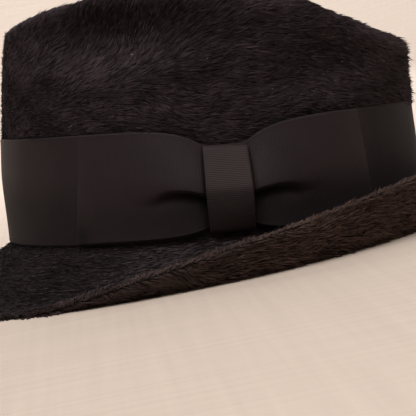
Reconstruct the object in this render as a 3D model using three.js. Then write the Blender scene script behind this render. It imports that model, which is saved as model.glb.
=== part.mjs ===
import * as THREE from 'three';
import { mergeVertices } from 'three/addons/utils/BufferGeometryUtils.js';

// A trilby: one piece of long-napped felt with a gathered ribbon band and a flat bow on the
// wearer's left. Millimetres. -Y is the wearer's front, +X the wearer's left, +Z up.
// Azimuths run from the front, by the wearer's left, to the back, in degrees.

// Crown, measured on the outside of the felt
const CROWN_LENGTH = 200;
const CROWN_WIDTH = 173.4;
const CROWN_HEIGHT = 110.6;
const FELT_THICKNESS = 2.2;
const CREASE_DEPTH = 20;
const PINCH_DEPTH = 9;
const DIMPLE_DEPTH = 2.5;

// Brim, measured along the felt at the front
const BRIM_WIDTH = 49;
const BREAK_RADIUS = 2;
const REST_PRESS = 0.8;

// Ribbon band and bow
const BAND_HEIGHT = 49.5;
const BAND_THICKNESS = 1;
const BOW_HEIGHT = 48.5;
const BOW_PLY = 0.8;
const BOW_PUFF = 4;
const FOLD_HOLLOW = 0.8;
const FRONT_LOOP = 70;
const REAR_LOOP = 68;
const KNOT_WIDTH = 19.5;
const KNOT_THICKNESS = 1;
const KNOT_DROP = 2;
const KNOT_CORNER = 1.2;
const GATHER_TOP = 9.5;
const GATHER_TOP_SPREAD = 11.5;
const GATHER_FOOT = 4.5;
const GATHER_FOOT_SPREAD = 7.5;
const CREASE_HALF_HEIGHT = 6;
const CREASE_REACH = 16;
const SEAT = 0.3;

// Shares that have no unit
const EGG = 0.03;
const LEAN_START = 0.26;
const KNOT_AZIMUTH = 90;
const BOW_CREASE_AT = 0.4;
const BOW_CREASE_SHARE = 0.75;

// Steps of the surfaces
const FELT_COLUMNS = 60;
const BAND_COLUMNS = 90;

const DEGREE = Math.PI / 180;

// Highest line of the crown from front to back: place as a share of half the crown's length,
// height as a share of the crown's height
const RIDGE = [
  { at: -1.2, height: 0.92 },
  { at: -1.0, height: 0.935 },
  { at: -0.8, height: 0.955 },
  { at: -0.6, height: 0.976 },
  { at: -0.4, height: 0.991 },
  { at: -0.2, height: 1.0 },
  { at: 0.0, height: 0.994 },
  { at: 0.2, height: 0.967 },
  { at: 0.4, height: 0.915 },
  { at: 0.6, height: 0.833 },
  { at: 0.8, height: 0.754 },
  { at: 1.0, height: 0.716 },
  { at: 1.2, height: 0.69 },
];

// Corner between the crown's top and wall, by azimuth: where it starts as a share of the way
// out, and how far it drops as a share of the crown's height. Then the wall under it: how much
// it leans in per millimetre of height, and the further lean at full height as a share of it
const WALL = [
  { at: 0, rim: 0.74, drop: 0.064, slope: 0.002, lean: 0.088 },
  { at: 45, rim: 0.86, drop: 0.1, slope: 0.024, lean: 0.061 },
  { at: 90, rim: 0.76, drop: 0.154, slope: 0.03, lean: 0.061 },
  { at: 135, rim: 0.86, drop: 0.1, slope: 0.02, lean: 0.037 },
  { at: 180, rim: 0.87, drop: 0.044, slope: 0.015, lean: -0.017 },
];

// Brim sections by azimuth: width, length of the slope from the break and radius of the roll as
// shares of the brim's width, with the slopes before and after the roll in degrees
const BRIM = [
  { at: 0, width: 1.0, slope: 0.506, roll: 0.814, inner: -31, outer: -24.1 },
  { at: 45, width: 1.065, slope: 0.647, roll: 0.247, inner: -37.2, outer: -2.3 },
  { at: 90, width: 0.949, slope: 0.386, roll: 0.198, inner: -34.5, outer: 63.6 },
  { at: 135, width: 0.841, slope: 0.084, roll: 0.218, inner: -30.5, outer: 74.7 },
  { at: 180, width: 0.837, slope: 0.114, roll: 0.178, inner: -24, outer: 63 },
];

// The teardrop crease in the top: middle and half length as shares of half the crown's length,
// half width as a share of half its width, and how much wider it is at the back
const TEARDROP = { middle: 0.02, halfLength: 0.8, halfWidth: 0.577, flare: 0.15 };

// Dents in the wall: middle and half length along the crown as shares of half its length,
// height of the middle and half height as shares of the crown's height, on both sides or left
const DENTS = [
  { depth: PINCH_DEPTH, side: 1, along: -0.38, halfLength: 0.54, up: 0.805, halfHeight: 0.244 },
  { depth: PINCH_DEPTH, side: -1, along: -0.38, halfLength: 0.54, up: 0.805, halfHeight: 0.244 },
  { depth: DIMPLE_DEPTH, side: 1, along: 0.44, halfLength: 0.24, up: 0.606, halfHeight: 0.15 },
];
const DENT_FADE = 0.35;

const FELT_COLOUR = 0x251e1e;
const RIBBON_COLOUR = 0x2a2424;

// A table's column at a place between its rows, on a smooth curve mirrored at both ends
function read(table, name, place) {
  const last = table.length - 1;
  const step = (table[last].at - table[0].at) / last;
  const position = THREE.MathUtils.clamp((place - table[0].at) / step, 0, last);
  const row = Math.min(Math.floor(position), last - 1);
  const mirror = (index) => Math.min(Math.abs(index), 2 * last - index);
  const [a, b, c, d] = [-1, 0, 1, 2].map((offset) => table[mirror(row + offset)][name]);
  const t = position - row;
  const even = 2 * b + (2 * a - 5 * b + 4 * c - d) * t * t;
  const odd = (c - a) * t + (3 * b - a - 3 * c + d) * t * t * t;
  return (even + odd) / 2;
}

// Azimuth tables serve both sides of the hat
function readAround(table, name, azimuth) {
  const turn = THREE.MathUtils.euclideanModulo(azimuth + 180, 360) - 180;
  return read(table, name, Math.abs(turn));
}

// A round dent: 1 in the middle, 0 outside, where square is the share of the reach, squared
function bowl(square) {
  return square < 1 ? (1 - square) ** 2 : 0;
}

// The crown's foot seen from above, an oval a little wider at the back, with its outward normal
function outline(azimuth) {
  const angle = azimuth * DEGREE;
  const halfLength = CROWN_LENGTH / 2;
  const halfWidth = CROWN_WIDTH / 2;
  const swell = 1 - EGG * Math.cos(angle);
  const alongX = halfWidth * (Math.cos(angle) * swell + EGG * Math.sin(angle) ** 2);
  const alongY = halfLength * Math.sin(angle);
  const length = Math.hypot(alongX, alongY);
  return {
    x: halfWidth * Math.sin(angle) * swell,
    y: -halfLength * Math.cos(angle),
    outX: alongY / length,
    outY: -alongX / length,
  };
}

// How far the wall leans in at a height
function lean(azimuth, height) {
  const start = LEAN_START * CROWN_HEIGHT;
  const above = Math.max(0, (height - start) / (CROWN_HEIGHT - start));
  const further = readAround(WALL, 'lean', azimuth) * CROWN_HEIGHT * above ** 2;
  return readAround(WALL, 'slope', azimuth) * height + further;
}

// A point that stands proud of the crown's wall by a distance
function besideWall(azimuth, height, proud) {
  const foot = outline(azimuth);
  const out = proud - lean(azimuth, height);
  return new THREE.Vector3(foot.x + foot.outX * out, foot.y + foot.outY * out, height);
}

// Height of the crown's top: the ridge line less the teardrop crease
function topHeight(x, y) {
  const along = y / (CROWN_LENGTH / 2);
  const halfWidth = (TEARDROP.halfWidth + TEARDROP.flare * along * TEARDROP.halfWidth) * CROWN_WIDTH / 2;
  const square = ((along - TEARDROP.middle) / TEARDROP.halfLength) ** 2 + (x / halfWidth) ** 2;
  return read(RIDGE, 'height', along) * CROWN_HEIGHT - CREASE_DEPTH * bowl(square);
}

// How far the dents push a point of the crown in
function dentAt(point) {
  const along = point.y / (CROWN_LENGTH / 2);
  const up = point.z / CROWN_HEIGHT;
  const fade = Math.min(1, Math.abs(point.x) / (DENT_FADE * CROWN_WIDTH / 2));
  let depth = 0;
  for (const dent of DENTS) {
    const across = (along - dent.along) / dent.halfLength;
    const rise = (up - dent.up) / dent.halfHeight;
    const here = Math.sign(point.x) === dent.side ? 1 : 0;
    depth += here * fade * dent.depth * bowl(across ** 2 + rise ** 2);
  }
  return depth;
}

// The crown's outside in three legs: the top from its middle outwards, the corner, and the wall
// from the corner down to the foot
function crownPoint(azimuth, leg, share) {
  const foot = outline(azimuth);
  const rim = readAround(WALL, 'rim', azimuth);
  const drop = readAround(WALL, 'drop', azimuth) * CROWN_HEIGHT;
  const inset = lean(azimuth, topHeight(foot.x, foot.y) - drop);
  const edgeX = foot.x - foot.outX * inset;
  const edgeY = foot.y - foot.outY * inset;
  let point;
  if (leg === 'wall') {
    point = besideWall(azimuth, (topHeight(edgeX, edgeY) - drop) * (1 - share), 0);
  } else {
    const turn = leg === 'corner' ? share * Math.PI / 2 : 0;
    const out = leg === 'top' ? rim * share : rim + (1 - rim) * Math.sin(turn);
    const height = topHeight(edgeX * out, edgeY * out) - drop * (1 - Math.cos(turn));
    point = new THREE.Vector3(edgeX * out, edgeY * out, height);
  }
  const dent = dentAt(point);
  return point.sub(new THREE.Vector3(foot.outX * dent, foot.outY * dent, 0));
}

// The brim's top in four legs, walked outwards from the crown's foot: the turn at the break, the
// slope, the roll and the rim
function brimPoint(azimuth, leg, share) {
  const inner = readAround(BRIM, 'inner', azimuth) * DEGREE;
  const outer = readAround(BRIM, 'outer', azimuth) * DEGREE;
  const width = readAround(BRIM, 'width', azimuth) * BRIM_WIDTH;
  const slope = readAround(BRIM, 'slope', azimuth) * BRIM_WIDTH;
  const roll = readAround(BRIM, 'roll', azimuth) * BRIM_WIDTH;
  const wallHeading = -Math.PI / 2;
  const rim = width - BREAK_RADIUS * (inner - wallHeading) - slope - roll * (outer - inner);
  const legs = [
    { name: 'break', radius: BREAK_RADIUS, from: wallHeading, to: inner },
    { name: 'slope', length: slope, heading: inner },
    { name: 'roll', radius: roll, from: inner, to: outer },
    { name: 'rim', length: rim, heading: outer },
  ];
  let out = 0;
  let up = 0;
  for (const part of legs) {
    const walked = part.name === leg ? share : 1;
    if (part.radius) {
      const heading = THREE.MathUtils.lerp(part.from, part.to, walked);
      out += part.radius * (Math.sin(heading) - Math.sin(part.from));
      up += part.radius * (Math.cos(part.from) - Math.cos(heading));
    } else {
      out += part.length * walked * Math.cos(part.heading);
      up += part.length * walked * Math.sin(part.heading);
    }
    if (part.name === leg) {
      break;
    }
  }
  const foot = outline(azimuth);
  return new THREE.Vector3(foot.x + foot.outX * out, foot.y + foot.outY * out, up);
}

// Unit vector square to a grid of points at one of them. The first row is the crown's middle.
function squareTo(rows, i, j) {
  if (i === 0) {
    return new THREE.Vector3(0, 0, 1);
  }
  const row = rows[i];
  const next = rows[Math.min(i + 1, rows.length - 1)][j];
  const down = next.clone().sub(row[j]).normalize();
  down.add(row[j].clone().sub(rows[i - 1][j]).normalize());
  const around = row[(j + 1) % row.length].clone().sub(row[(j + row.length - 1) % row.length]);
  return down.cross(around).normalize();
}

// A closed sheet between two grids of points. Rows run down, columns run round to the left as
// seen from above, and front is the side that faces out. A ring joins its last column to its
// first. Rows that meet in one point leave no triangle there.
function sheet(front, back, ring) {
  const rows = front.length;
  const columns = front[0].length;
  const at = (side, i, j) => (side * rows + i) * columns + (j % columns);
  const index = [];
  const quad = (a, b, c, d) => index.push(a, b, c, a, c, d);
  const steps = ring ? columns : columns - 1;
  for (let j = 0; j < steps; j += 1) {
    for (let i = 0; i < rows - 1; i += 1) {
      quad(at(0, i, j), at(0, i + 1, j), at(0, i + 1, j + 1), at(0, i, j + 1));
      quad(at(1, i, j + 1), at(1, i + 1, j + 1), at(1, i + 1, j), at(1, i, j));
    }
    const last = rows - 1;
    quad(at(0, last, j), at(1, last, j), at(1, last, j + 1), at(0, last, j + 1));
    quad(at(0, 0, j + 1), at(1, 0, j + 1), at(1, 0, j), at(0, 0, j));
  }
  for (let i = 0; i < rows - 1 && !ring; i += 1) {
    const last = columns - 1;
    quad(at(0, i, 0), at(1, i, 0), at(1, i + 1, 0), at(0, i + 1, 0));
    quad(at(0, i + 1, last), at(1, i + 1, last), at(1, i, last), at(0, i, last));
  }
  const geometry = new THREE.BufferGeometry().setFromPoints([...front.flat(), ...back.flat()]);
  geometry.setIndex(index);
  const merged = mergeVertices(geometry, 1e-3);
  const corners = merged.getIndex().array;
  const kept = [];
  for (let k = 0; k < corners.length; k += 3) {
    const [a, b, c] = corners.slice(k, k + 3);
    if (a !== b && b !== c && c !== a) {
      kept.push(a, b, c);
    }
  }
  merged.setIndex(kept);
  merged.computeVertexNormals();
  return merged;
}

function cloth(name, geometry, colour) {
  const material = new THREE.MeshStandardMaterial({ color: colour, roughness: 0.9, metalness: 0 });
  const mesh = new THREE.Mesh(geometry, material);
  mesh.name = name;
  return mesh;
}

// The line that a level surface takes under the brim: of all lines through a point ahead of the
// crown's middle and a point behind it, the one that passes lowest under the middle
function restingLine(points) {
  const ahead = points.filter((point) => point.y < 0);
  const behind = points.filter((point) => point.y >= 0);
  let line = { height: Infinity, slope: 0 };
  for (const front of ahead) {
    for (const rear of behind) {
      const slope = (rear.z - front.z) / (rear.y - front.y);
      const height = rear.z - slope * rear.y;
      if (height < line.height) {
        line = { height, slope };
      }
    }
  }
  return line;
}

// Felt body: crown and brim in one sheet. Its underside is pressed flat where it rests.
const FELT_ROWS = [
  ...[0, 0.12, 0.28, 0.45, 0.62, 0.8].map((share) => [crownPoint, 'top', share]),
  ...[0, 0.2, 0.4, 0.6, 0.8].map((share) => [crownPoint, 'corner', share]),
  ...[0, 0.07, 0.14, 0.22, 0.3, 0.38, 0.47, 0.6, 0.8, 1].map((share) => [crownPoint, 'wall', share]),
  ...[0.5, 1].map((share) => [brimPoint, 'break', share]),
  ...[0.5, 1].map((share) => [brimPoint, 'slope', share]),
  ...[1, 2, 3, 4, 5, 6].map((step) => [brimPoint, 'roll', step / 6]),
  ...[0.5, 1].map((share) => [brimPoint, 'rim', share]),
];

const outside = FELT_ROWS.map(([surface, leg, share]) => {
  const azimuths = Array.from({ length: FELT_COLUMNS }, (_, j) => 360 * j / FELT_COLUMNS);
  return azimuths.map((azimuth) => surface(azimuth, leg, share));
});
const underside = outside.map((row, i) => row.map((point, j) => {
  return point.clone().addScaledVector(squareTo(outside, i, j), -FELT_THICKNESS);
}));
const rest = restingLine(underside.flat());
for (const point of underside.flat()) {
  point.z = Math.max(point.z, rest.height + REST_PRESS + rest.slope * point.y);
}
const feltBody = cloth('felt_body', sheet(outside, underside, true), FELT_COLOUR);

// Places along the ribbon are distances from the knot's middle, positive to the back
function azimuthAt(distance) {
  return KNOT_AZIMUTH + distance / (CROWN_LENGTH / 2) / DEGREE;
}

// How far the knot gathers an edge of the ribbon in, fully under the knot and less beside it
function gather(distance, depth, spread) {
  return depth * Math.exp(-Math.max(0, Math.abs(distance) - KNOT_WIDTH / 2) / spread);
}

// A height on the ribbon between its gathered top, share 0, and its gathered foot, share 1
function ribbonHeight(distance, foot, share) {
  const top = BAND_HEIGHT - gather(distance, GATHER_TOP, GATHER_TOP_SPREAD);
  const low = foot + gather(distance, GATHER_FOOT, GATHER_FOOT_SPREAD);
  return THREE.MathUtils.lerp(top, low, share);
}

// Hat band: the ribbon once round the crown, standing on the break. Its columns meet the knot's
// two sides, with two more under the knot.
function bandDistances() {
  const under = [-1 / 2, -1 / 6, 1 / 6].map((share) => share * KNOT_WIDTH);
  const round = Math.PI * CROWN_LENGTH - KNOT_WIDTH;
  const steps = BAND_COLUMNS - under.length;
  const beside = Array.from({ length: steps }, (_, k) => KNOT_WIDTH / 2 + round * k / steps);
  return [...under, ...beside];
}

function bandFace(proud) {
  return [0, 0.25, 0.5, 0.75, 1].map((share) => bandDistances().map((distance) => {
    const nearest = Math.min(Math.abs(distance), Math.PI * CROWN_LENGTH - distance);
    return besideWall(azimuthAt(distance), ribbonHeight(nearest, 0, share), proud);
  }));
}
const bandOutside = SEAT + BAND_THICKNESS;
const hatBand = cloth('hat_band', sheet(bandFace(bandOutside), bandFace(SEAT), true), RIBBON_COLOUR);

// Bow loops: ribbon folded back on itself, its inner ply on the band and its outer ply puffed
// beside the knot, with a level crease that the knot pulls in
const innerPly = bandOutside + SEAT + BOW_PLY / 2;
const foldRadius = (BOW_PLY + FOLD_HOLLOW) / 2;

function outerPly(distance, length, height) {
  const beside = Math.max(0, Math.abs(distance) - KNOT_WIDTH / 2);
  const share = Math.min(1, beside / (length - foldRadius - KNOT_WIDTH / 2));
  const puff = BOW_PUFF * Math.sin(Math.PI * Math.sqrt(share));
  const fromCrease = (height - BOW_CREASE_AT * BAND_HEIGHT) / CREASE_HALF_HEIGHT;
  const crease = BOW_CREASE_SHARE * Math.exp(-(fromCrease ** 2) - beside / CREASE_REACH);
  const hollow = THREE.MathUtils.lerp(SEAT, FOLD_HOLLOW, share);
  return innerPly + BOW_PLY + hollow + puff * (1 - crease);
}

// Middle line of a loop's ribbon, from the knot along the inner ply and back along the outer
function loopLine(length, heightAt) {
  const straight = length - foldRadius;
  const besideKnot = (share) => THREE.MathUtils.lerp(KNOT_WIDTH / 2, straight, share);
  const line = [];
  for (const distance of [SEAT, ...[0, 0.14, 0.28, 0.42, 0.56, 0.7, 0.85, 1].map(besideKnot)]) {
    line.push({ distance, proud: innerPly });
  }
  for (const turn of [Math.PI / 4, Math.PI / 2, 3 * Math.PI / 4]) {
    const distance = straight + foldRadius * Math.sin(turn);
    line.push({ distance, proud: innerPly + foldRadius * (1 - Math.cos(turn)) });
  }
  const back = [1, 0.87, 0.74, 0.6, 0.46, 0.33, 0.22, 0.13, 0.06, 0].map(besideKnot);
  for (const distance of [...back, SEAT]) {
    line.push({ distance, proud: outerPly(distance, length, heightAt(distance)) });
  }
  return line;
}

// Both faces of a loop: towards is -1 for the loop to the front and 1 for the one to the back
function loopFaces(length, towards) {
  const foot = BAND_HEIGHT - BOW_HEIGHT;
  const faces = [[], []];
  for (const share of [0, 0.2, 0.38, 0.5, 0.6, 0.7, 0.84, 1]) {
    const heightAt = (distance) => ribbonHeight(distance, foot, share);
    const line = loopLine(length, heightAt).map(({ distance, proud }) => {
      return new THREE.Vector2(towards * distance, proud);
    });
    faces.forEach((face, side) => {
      face.push(line.map((point, k) => {
        const before = line[Math.max(k - 1, 0)];
        const after = line[Math.min(k + 1, line.length - 1)];
        const along = after.clone().sub(before).normalize();
        const offset = (side === 0 ? 1 : -1) * BOW_PLY / 2;
        const x = point.x - along.y * offset;
        const proud = point.y + along.x * offset;
        return besideWall(azimuthAt(x), heightAt(Math.abs(point.x)), proud);
      }));
    });
  }
  return faces;
}
const bowFrontLoop = cloth('bow_front_loop', sheet(...loopFaces(FRONT_LOOP, -1), false), RIBBON_COLOUR);
const bowRearLoop = cloth('bow_rear_loop', sheet(...loopFaces(REAR_LOOP, 1), false), RIBBON_COLOUR);

// Knot: a strip of ribbon over the pinched bow, its ends tucked in above and below the band
function knotLine() {
  const tuck = SEAT + KNOT_THICKNESS / 2;
  const out = innerPly + BOW_PLY / 2 + SEAT + BOW_PLY + tuck;
  const top = BAND_HEIGHT - GATHER_TOP + tuck;
  const foot = GATHER_FOOT - KNOT_DROP;
  const corner = (turn, height, sign) => ({
    proud: out - KNOT_CORNER * (1 - Math.sin(turn)),
    height: height - sign * KNOT_CORNER * (1 - Math.cos(turn)),
  });
  const turns = [0, 30, 60, 90].map((turn) => turn * DEGREE);
  const upper = turns.map((turn) => corner(turn, top, 1));
  const lower = turns.map((turn) => corner(turn, foot, -1)).reverse();
  const middle = [0.25, 0.5, 0.75].map((share) => ({
    proud: out,
    height: THREE.MathUtils.lerp(top - KNOT_CORNER, foot + KNOT_CORNER, share),
  }));
  return [{ proud: tuck, height: top }, ...upper, ...middle, ...lower, { proud: tuck, height: foot }];
}

function knotFace(side) {
  const line = knotLine();
  return line.map((point, k) => {
    const before = line[Math.max(k - 1, 0)];
    const after = line[Math.min(k + 1, line.length - 1)];
    const along = new THREE.Vector2(after.proud - before.proud, after.height - before.height);
    along.normalize().multiplyScalar(side * KNOT_THICKNESS / 2);
    return [-0.5, -0.25, 0, 0.25, 0.5].map((share) => {
      const azimuth = azimuthAt(share * KNOT_WIDTH);
      return besideWall(azimuth, point.height + along.x, point.proud - along.y);
    });
  });
}
const bowKnot = cloth('bow_knot', sheet(knotFace(1), knotFace(-1), false), RIBBON_COLOUR);

// The hat leans back on its brim until the line under it is level, with the middle of its box
// over the origin
const trilby = new THREE.Group();
trilby.add(feltBody, hatBand, bowFrontLoop, bowRearLoop, bowKnot);
trilby.rotation.x = -Math.atan(rest.slope);
trilby.updateMatrixWorld(true);
const box = new THREE.Box3().setFromObject(trilby, true);
const middle = box.getCenter(new THREE.Vector3());
trilby.position.set(-middle.x, -middle.y, -box.min.z);
trilby.updateMatrixWorld(true);

export default trilby;
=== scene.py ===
"""Finish of a trilby: fur felt with a long nap, and a grosgrain band and bow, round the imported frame.

All lengths are in metres. Azimuths run from the wearer's front, by the wearer's left, to the
back, in degrees. The front is -Y, the wearer's left +X. Shapes are worked out level, with the
crown's foot at height 0, and settle() then leans them back on the brim.
"""

import math

import bmesh
import bpy
import numpy as np
from mathutils import Matrix, Vector


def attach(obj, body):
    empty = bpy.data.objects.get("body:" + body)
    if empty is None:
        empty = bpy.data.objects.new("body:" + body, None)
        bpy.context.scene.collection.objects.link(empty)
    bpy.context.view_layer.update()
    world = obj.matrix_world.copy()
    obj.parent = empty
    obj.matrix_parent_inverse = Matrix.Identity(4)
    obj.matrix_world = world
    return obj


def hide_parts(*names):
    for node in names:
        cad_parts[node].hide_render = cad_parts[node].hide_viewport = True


bl_info = {
    "name": "Trilby finish",
    "version": (1, 0, 0),
    "blender": (4, 5, 0),
    "location": "3D View > Sidebar > Trilby",
    "description": "Fur felt, nap, grosgrain band and bow for a trilby",
    "category": "Object",
}

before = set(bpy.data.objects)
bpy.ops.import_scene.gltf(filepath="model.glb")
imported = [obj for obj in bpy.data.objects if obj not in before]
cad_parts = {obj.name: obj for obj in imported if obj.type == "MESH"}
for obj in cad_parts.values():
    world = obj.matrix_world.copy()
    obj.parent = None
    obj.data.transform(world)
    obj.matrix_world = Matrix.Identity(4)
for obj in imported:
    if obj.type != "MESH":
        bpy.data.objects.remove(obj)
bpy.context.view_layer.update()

MM = 0.001
DEGREE = math.pi / 180

# Highest line of the crown from front to back: place as a share of half the crown's length,
# height as a share of the crown's height
RIDGE = {
    "at": [-1.2, -1.0, -0.8, -0.6, -0.4, -0.2, 0.0, 0.2, 0.4, 0.6, 0.8, 1.0, 1.2],
    "height": [0.92, 0.935, 0.955, 0.976, 0.991, 1.0, 0.994, 0.967, 0.915, 0.833, 0.754, 0.716, 0.69],
}

# The crown by azimuth: where its top ends, as a share of the way out, and how far that corner
# drops, as a share of the crown's height; then the wall's slope, in metres in per metre up, and
# its further lean at the ridge, as a share of the crown's height
WALL = {
    "at": [0, 45, 90, 135, 180],
    "rim": [0.74, 0.88, 0.82, 0.88, 0.87],
    "drop": [0.064, 0.05, 0.075, 0.07, 0.044],
    "slope": [0.002, 0.024, 0.03, 0.02, 0.015],
    "lean": [0.088, 0.061, 0.061, 0.037, -0.017],
}

# Brim sections by azimuth: lengths as shares of the brim's width, slopes in degrees
BRIM = {
    "at": [0, 45, 90, 135, 180],
    "width": [1.0, 1.065, 0.949, 0.841, 0.837],
    "slope": [0.506, 0.647, 0.386, 0.084, 0.114],
    "roll": [0.814, 0.247, 0.198, 0.218, 0.178],
    "inner": [-31, -37.2, -34.5, -30.5, -24],
    "outer": [-24.1, -2.3, 63.6, 74.7, 63],
}

# Dents in the wall, by side, 1 for the left: middle and half length as shares of half the
# crown's length, middle and half height as shares of its height
PINCH = {"size": "pinch_depth", "along": -0.34, "half_length": 0.66, "up": 0.81, "half_height": 0.175}
DIMPLE = {"size": "dimple_depth", "along": 0.44, "half_length": 0.34, "up": 0.64, "half_height": 0.2}
DENTS = ({"side": 1, **PINCH}, {"side": -1, **PINCH}, {"side": 1, **DIMPLE})

# Teardrop crease in the crown's top, as shares of half the crown's length and width: middle,
# half length, half width there, and how much wider it grows towards the back
TEARDROP = {"middle": 0.02, "half_length": 0.8, "half_width": 0.577, "widening": 0.15}

# Azimuths of the tack stitches on the bow's top edge, and azimuth and height of specks of lint
STITCHES = (69.2, 70.6, 72.2)
LINT = ((26, 0.094), (88, 0.078), (67, 0.083), (49, 0.054), (104, 0.062), (127, 0.071), (262, 0.07),
        (301, 0.082))

# Rows of the felt: leg and the shares along it, coarse as the solid has them and fine as shown
SOLID_ROWS = (
    ("top", (0, 0.12, 0.28, 0.45, 0.62, 0.8)),
    ("corner", (0, 0.2, 0.4, 0.6, 0.8)),
    ("wall", (0, 0.07, 0.14, 0.22, 0.3, 0.38, 0.47, 0.6, 0.8, 1)),
    ("break", (0.5, 1)),
    ("slope", (0.5, 1)),
    ("roll", tuple(np.arange(1, 7) / 6)),
    ("rim", (0.5, 1)),
)
FINE_ROWS = (
    ("top", tuple(np.arange(0, 14) / 14)),
    ("corner", tuple(np.arange(0, 8) / 8)),
    ("wall", tuple(np.arange(0, 29) / 28)),
    ("break", (0.25, 0.5, 0.75, 1)),
    ("slope", tuple(np.arange(1, 6) / 5)),
    ("roll", tuple(np.arange(1, 9) / 8)),
    ("rim", tuple(np.arange(1, 5) / 4)),
)
SOLID_COLUMNS = 60

# How the nap is combed on the crown's wall: azimuth and height of a parting's middle, its
# reaches, and how far it turns the flow up, in degrees
COMBED = (
    {"azimuth": 55, "height": 0.092, "reach": 26, "rise": 0.022, "turn": 42},
    {"azimuth": 78, "height": 0.098, "reach": 22, "rise": 0.016, "turn": 38},
    {"azimuth": 73, "height": 0.062, "reach": 9, "rise": 0.012, "turn": -38},
    {"azimuth": 118, "height": 0.08, "reach": 18, "rise": 0.02, "turn": 14},
    {"azimuth": 150, "height": 0.07, "reach": 22, "rise": 0.03, "turn": -16},
    {"azimuth": 250, "height": 0.09, "reach": 30, "rise": 0.03, "turn": -24},
    {"azimuth": 310, "height": 0.07, "reach": 24, "rise": 0.03, "turn": 20},
)

# Painted sheen and painted shade on the wall's nap, such as painted shade on the overhanging upper
# half of the left pinch: azimuth and height of a place's middle, its reaches, and how much it
# changes the shade
PAINTED_SHEEN_AND_SHADE = (
    {"azimuth": 60, "height": 0.097, "reach": 25, "rise": 0.012, "gain": -0.85},
    {"azimuth": 34, "height": 0.064, "reach": 9, "rise": 0.02, "gain": -0.2},
    {"azimuth": 52, "height": 0.074, "reach": 9, "rise": 0.009, "gain": 0.35},
    {"azimuth": 69, "height": 0.058, "reach": 13, "rise": 0.009, "gain": 0.5},
    {"azimuth": 83, "height": 0.072, "reach": 8, "rise": 0.007, "gain": -0.5},
    {"azimuth": 98, "height": 0.1, "reach": 10, "rise": 0.007, "gain": 0.4},
    {"azimuth": 97, "height": 0.089, "reach": 8, "rise": 0.006, "gain": -0.6},
    {"azimuth": 119, "height": 0.08, "reach": 10, "rise": 0.009, "gain": -0.35},
    {"azimuth": 150, "height": 0.084, "reach": 20, "rise": 0.008, "gain": 0.3},
    {"azimuth": 290, "height": 0.085, "reach": 22, "rise": 0.012, "gain": -0.3},
    {"azimuth": 240, "height": 0.07, "reach": 18, "rise": 0.014, "gain": 0.3},
)

# Sockets of a Mix node that mixes colours: its share, its two colours and what comes out
SHARE, FIRST, SECOND, MIXED = 0, 6, 7, 2

# Soft square lights: name, place, what they aim at, side in metres, power in watts and linear
# colour
HAT, HAT_TINT, BACKDROP_TINT = (0, 0, 0.06), (1.0, 0.99, 0.98), (0.94, 0.97, 1.0)
LAMPS = (
    ("Front side", (0.6, -0.62, 0.92), HAT, 0.6, 6.6, HAT_TINT),
    ("Back side", (0.7, 0.5, 0.92), HAT, 0.6, 6.0, HAT_TINT),
    ("Overhead", (0.2, 0.0, 1.15), HAT, 0.7, 0.9, HAT_TINT),
    ("Far side", (-0.75, 0.1, 0.75), HAT, 0.7, 3.5, HAT_TINT),
    ("Backdrop", (-1.2, 0.0, 2.4), (-4, 0, 0.6), 1.5, 140, BACKDROP_TINT),
    ("Near backdrop", (1.2, 0.0, 2.4), (4, 0, 0.6), 1.5, 58, BACKDROP_TINT),
)


def a_length(name, description, default):
    """A length setting, in metres."""
    return bpy.props.FloatProperty(name=name, description=description, default=default, unit="LENGTH")


def a_count(name, description, default):
    """A whole-number setting."""
    return bpy.props.IntProperty(name=name, description=description, default=default)


def a_colour(name, description, default):
    """A colour setting, as an sRGB hex value."""
    return bpy.props.StringProperty(name=name, description=description, default=default)


class TrilbyFelt(bpy.types.PropertyGroup):
    """Sizes of the felt, as the solid has them"""

    crown_length: a_length("Crown length", "Outside, at the foot", 0.2)
    crown_width: a_length("Crown width", "Outside, at the foot", 0.1734)
    crown_height: a_length("Crown height", "From the foot to the ridge", 0.1106)
    thickness: a_length("Thickness", "Of the felt", 0.0022)
    crease_depth: a_length("Crease depth", "Teardrop crease in the top", 0.02)
    pinch_depth: a_length("Pinch depth", "Pinches at both sides", 0.0075)
    dimple_depth: a_length("Dimple depth", "Shallow dent at the left", 0.0042)
    brim_width: a_length("Brim width", "Along the felt, in front", 0.049)
    break_radius: a_length("Break radius", "Turn from crown to brim", 0.002)
    rest_press: a_length("Rest press", "Flattening under the brim", 0.0008)
    columns: a_count("Columns", "Steps round the felt", 200)


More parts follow.
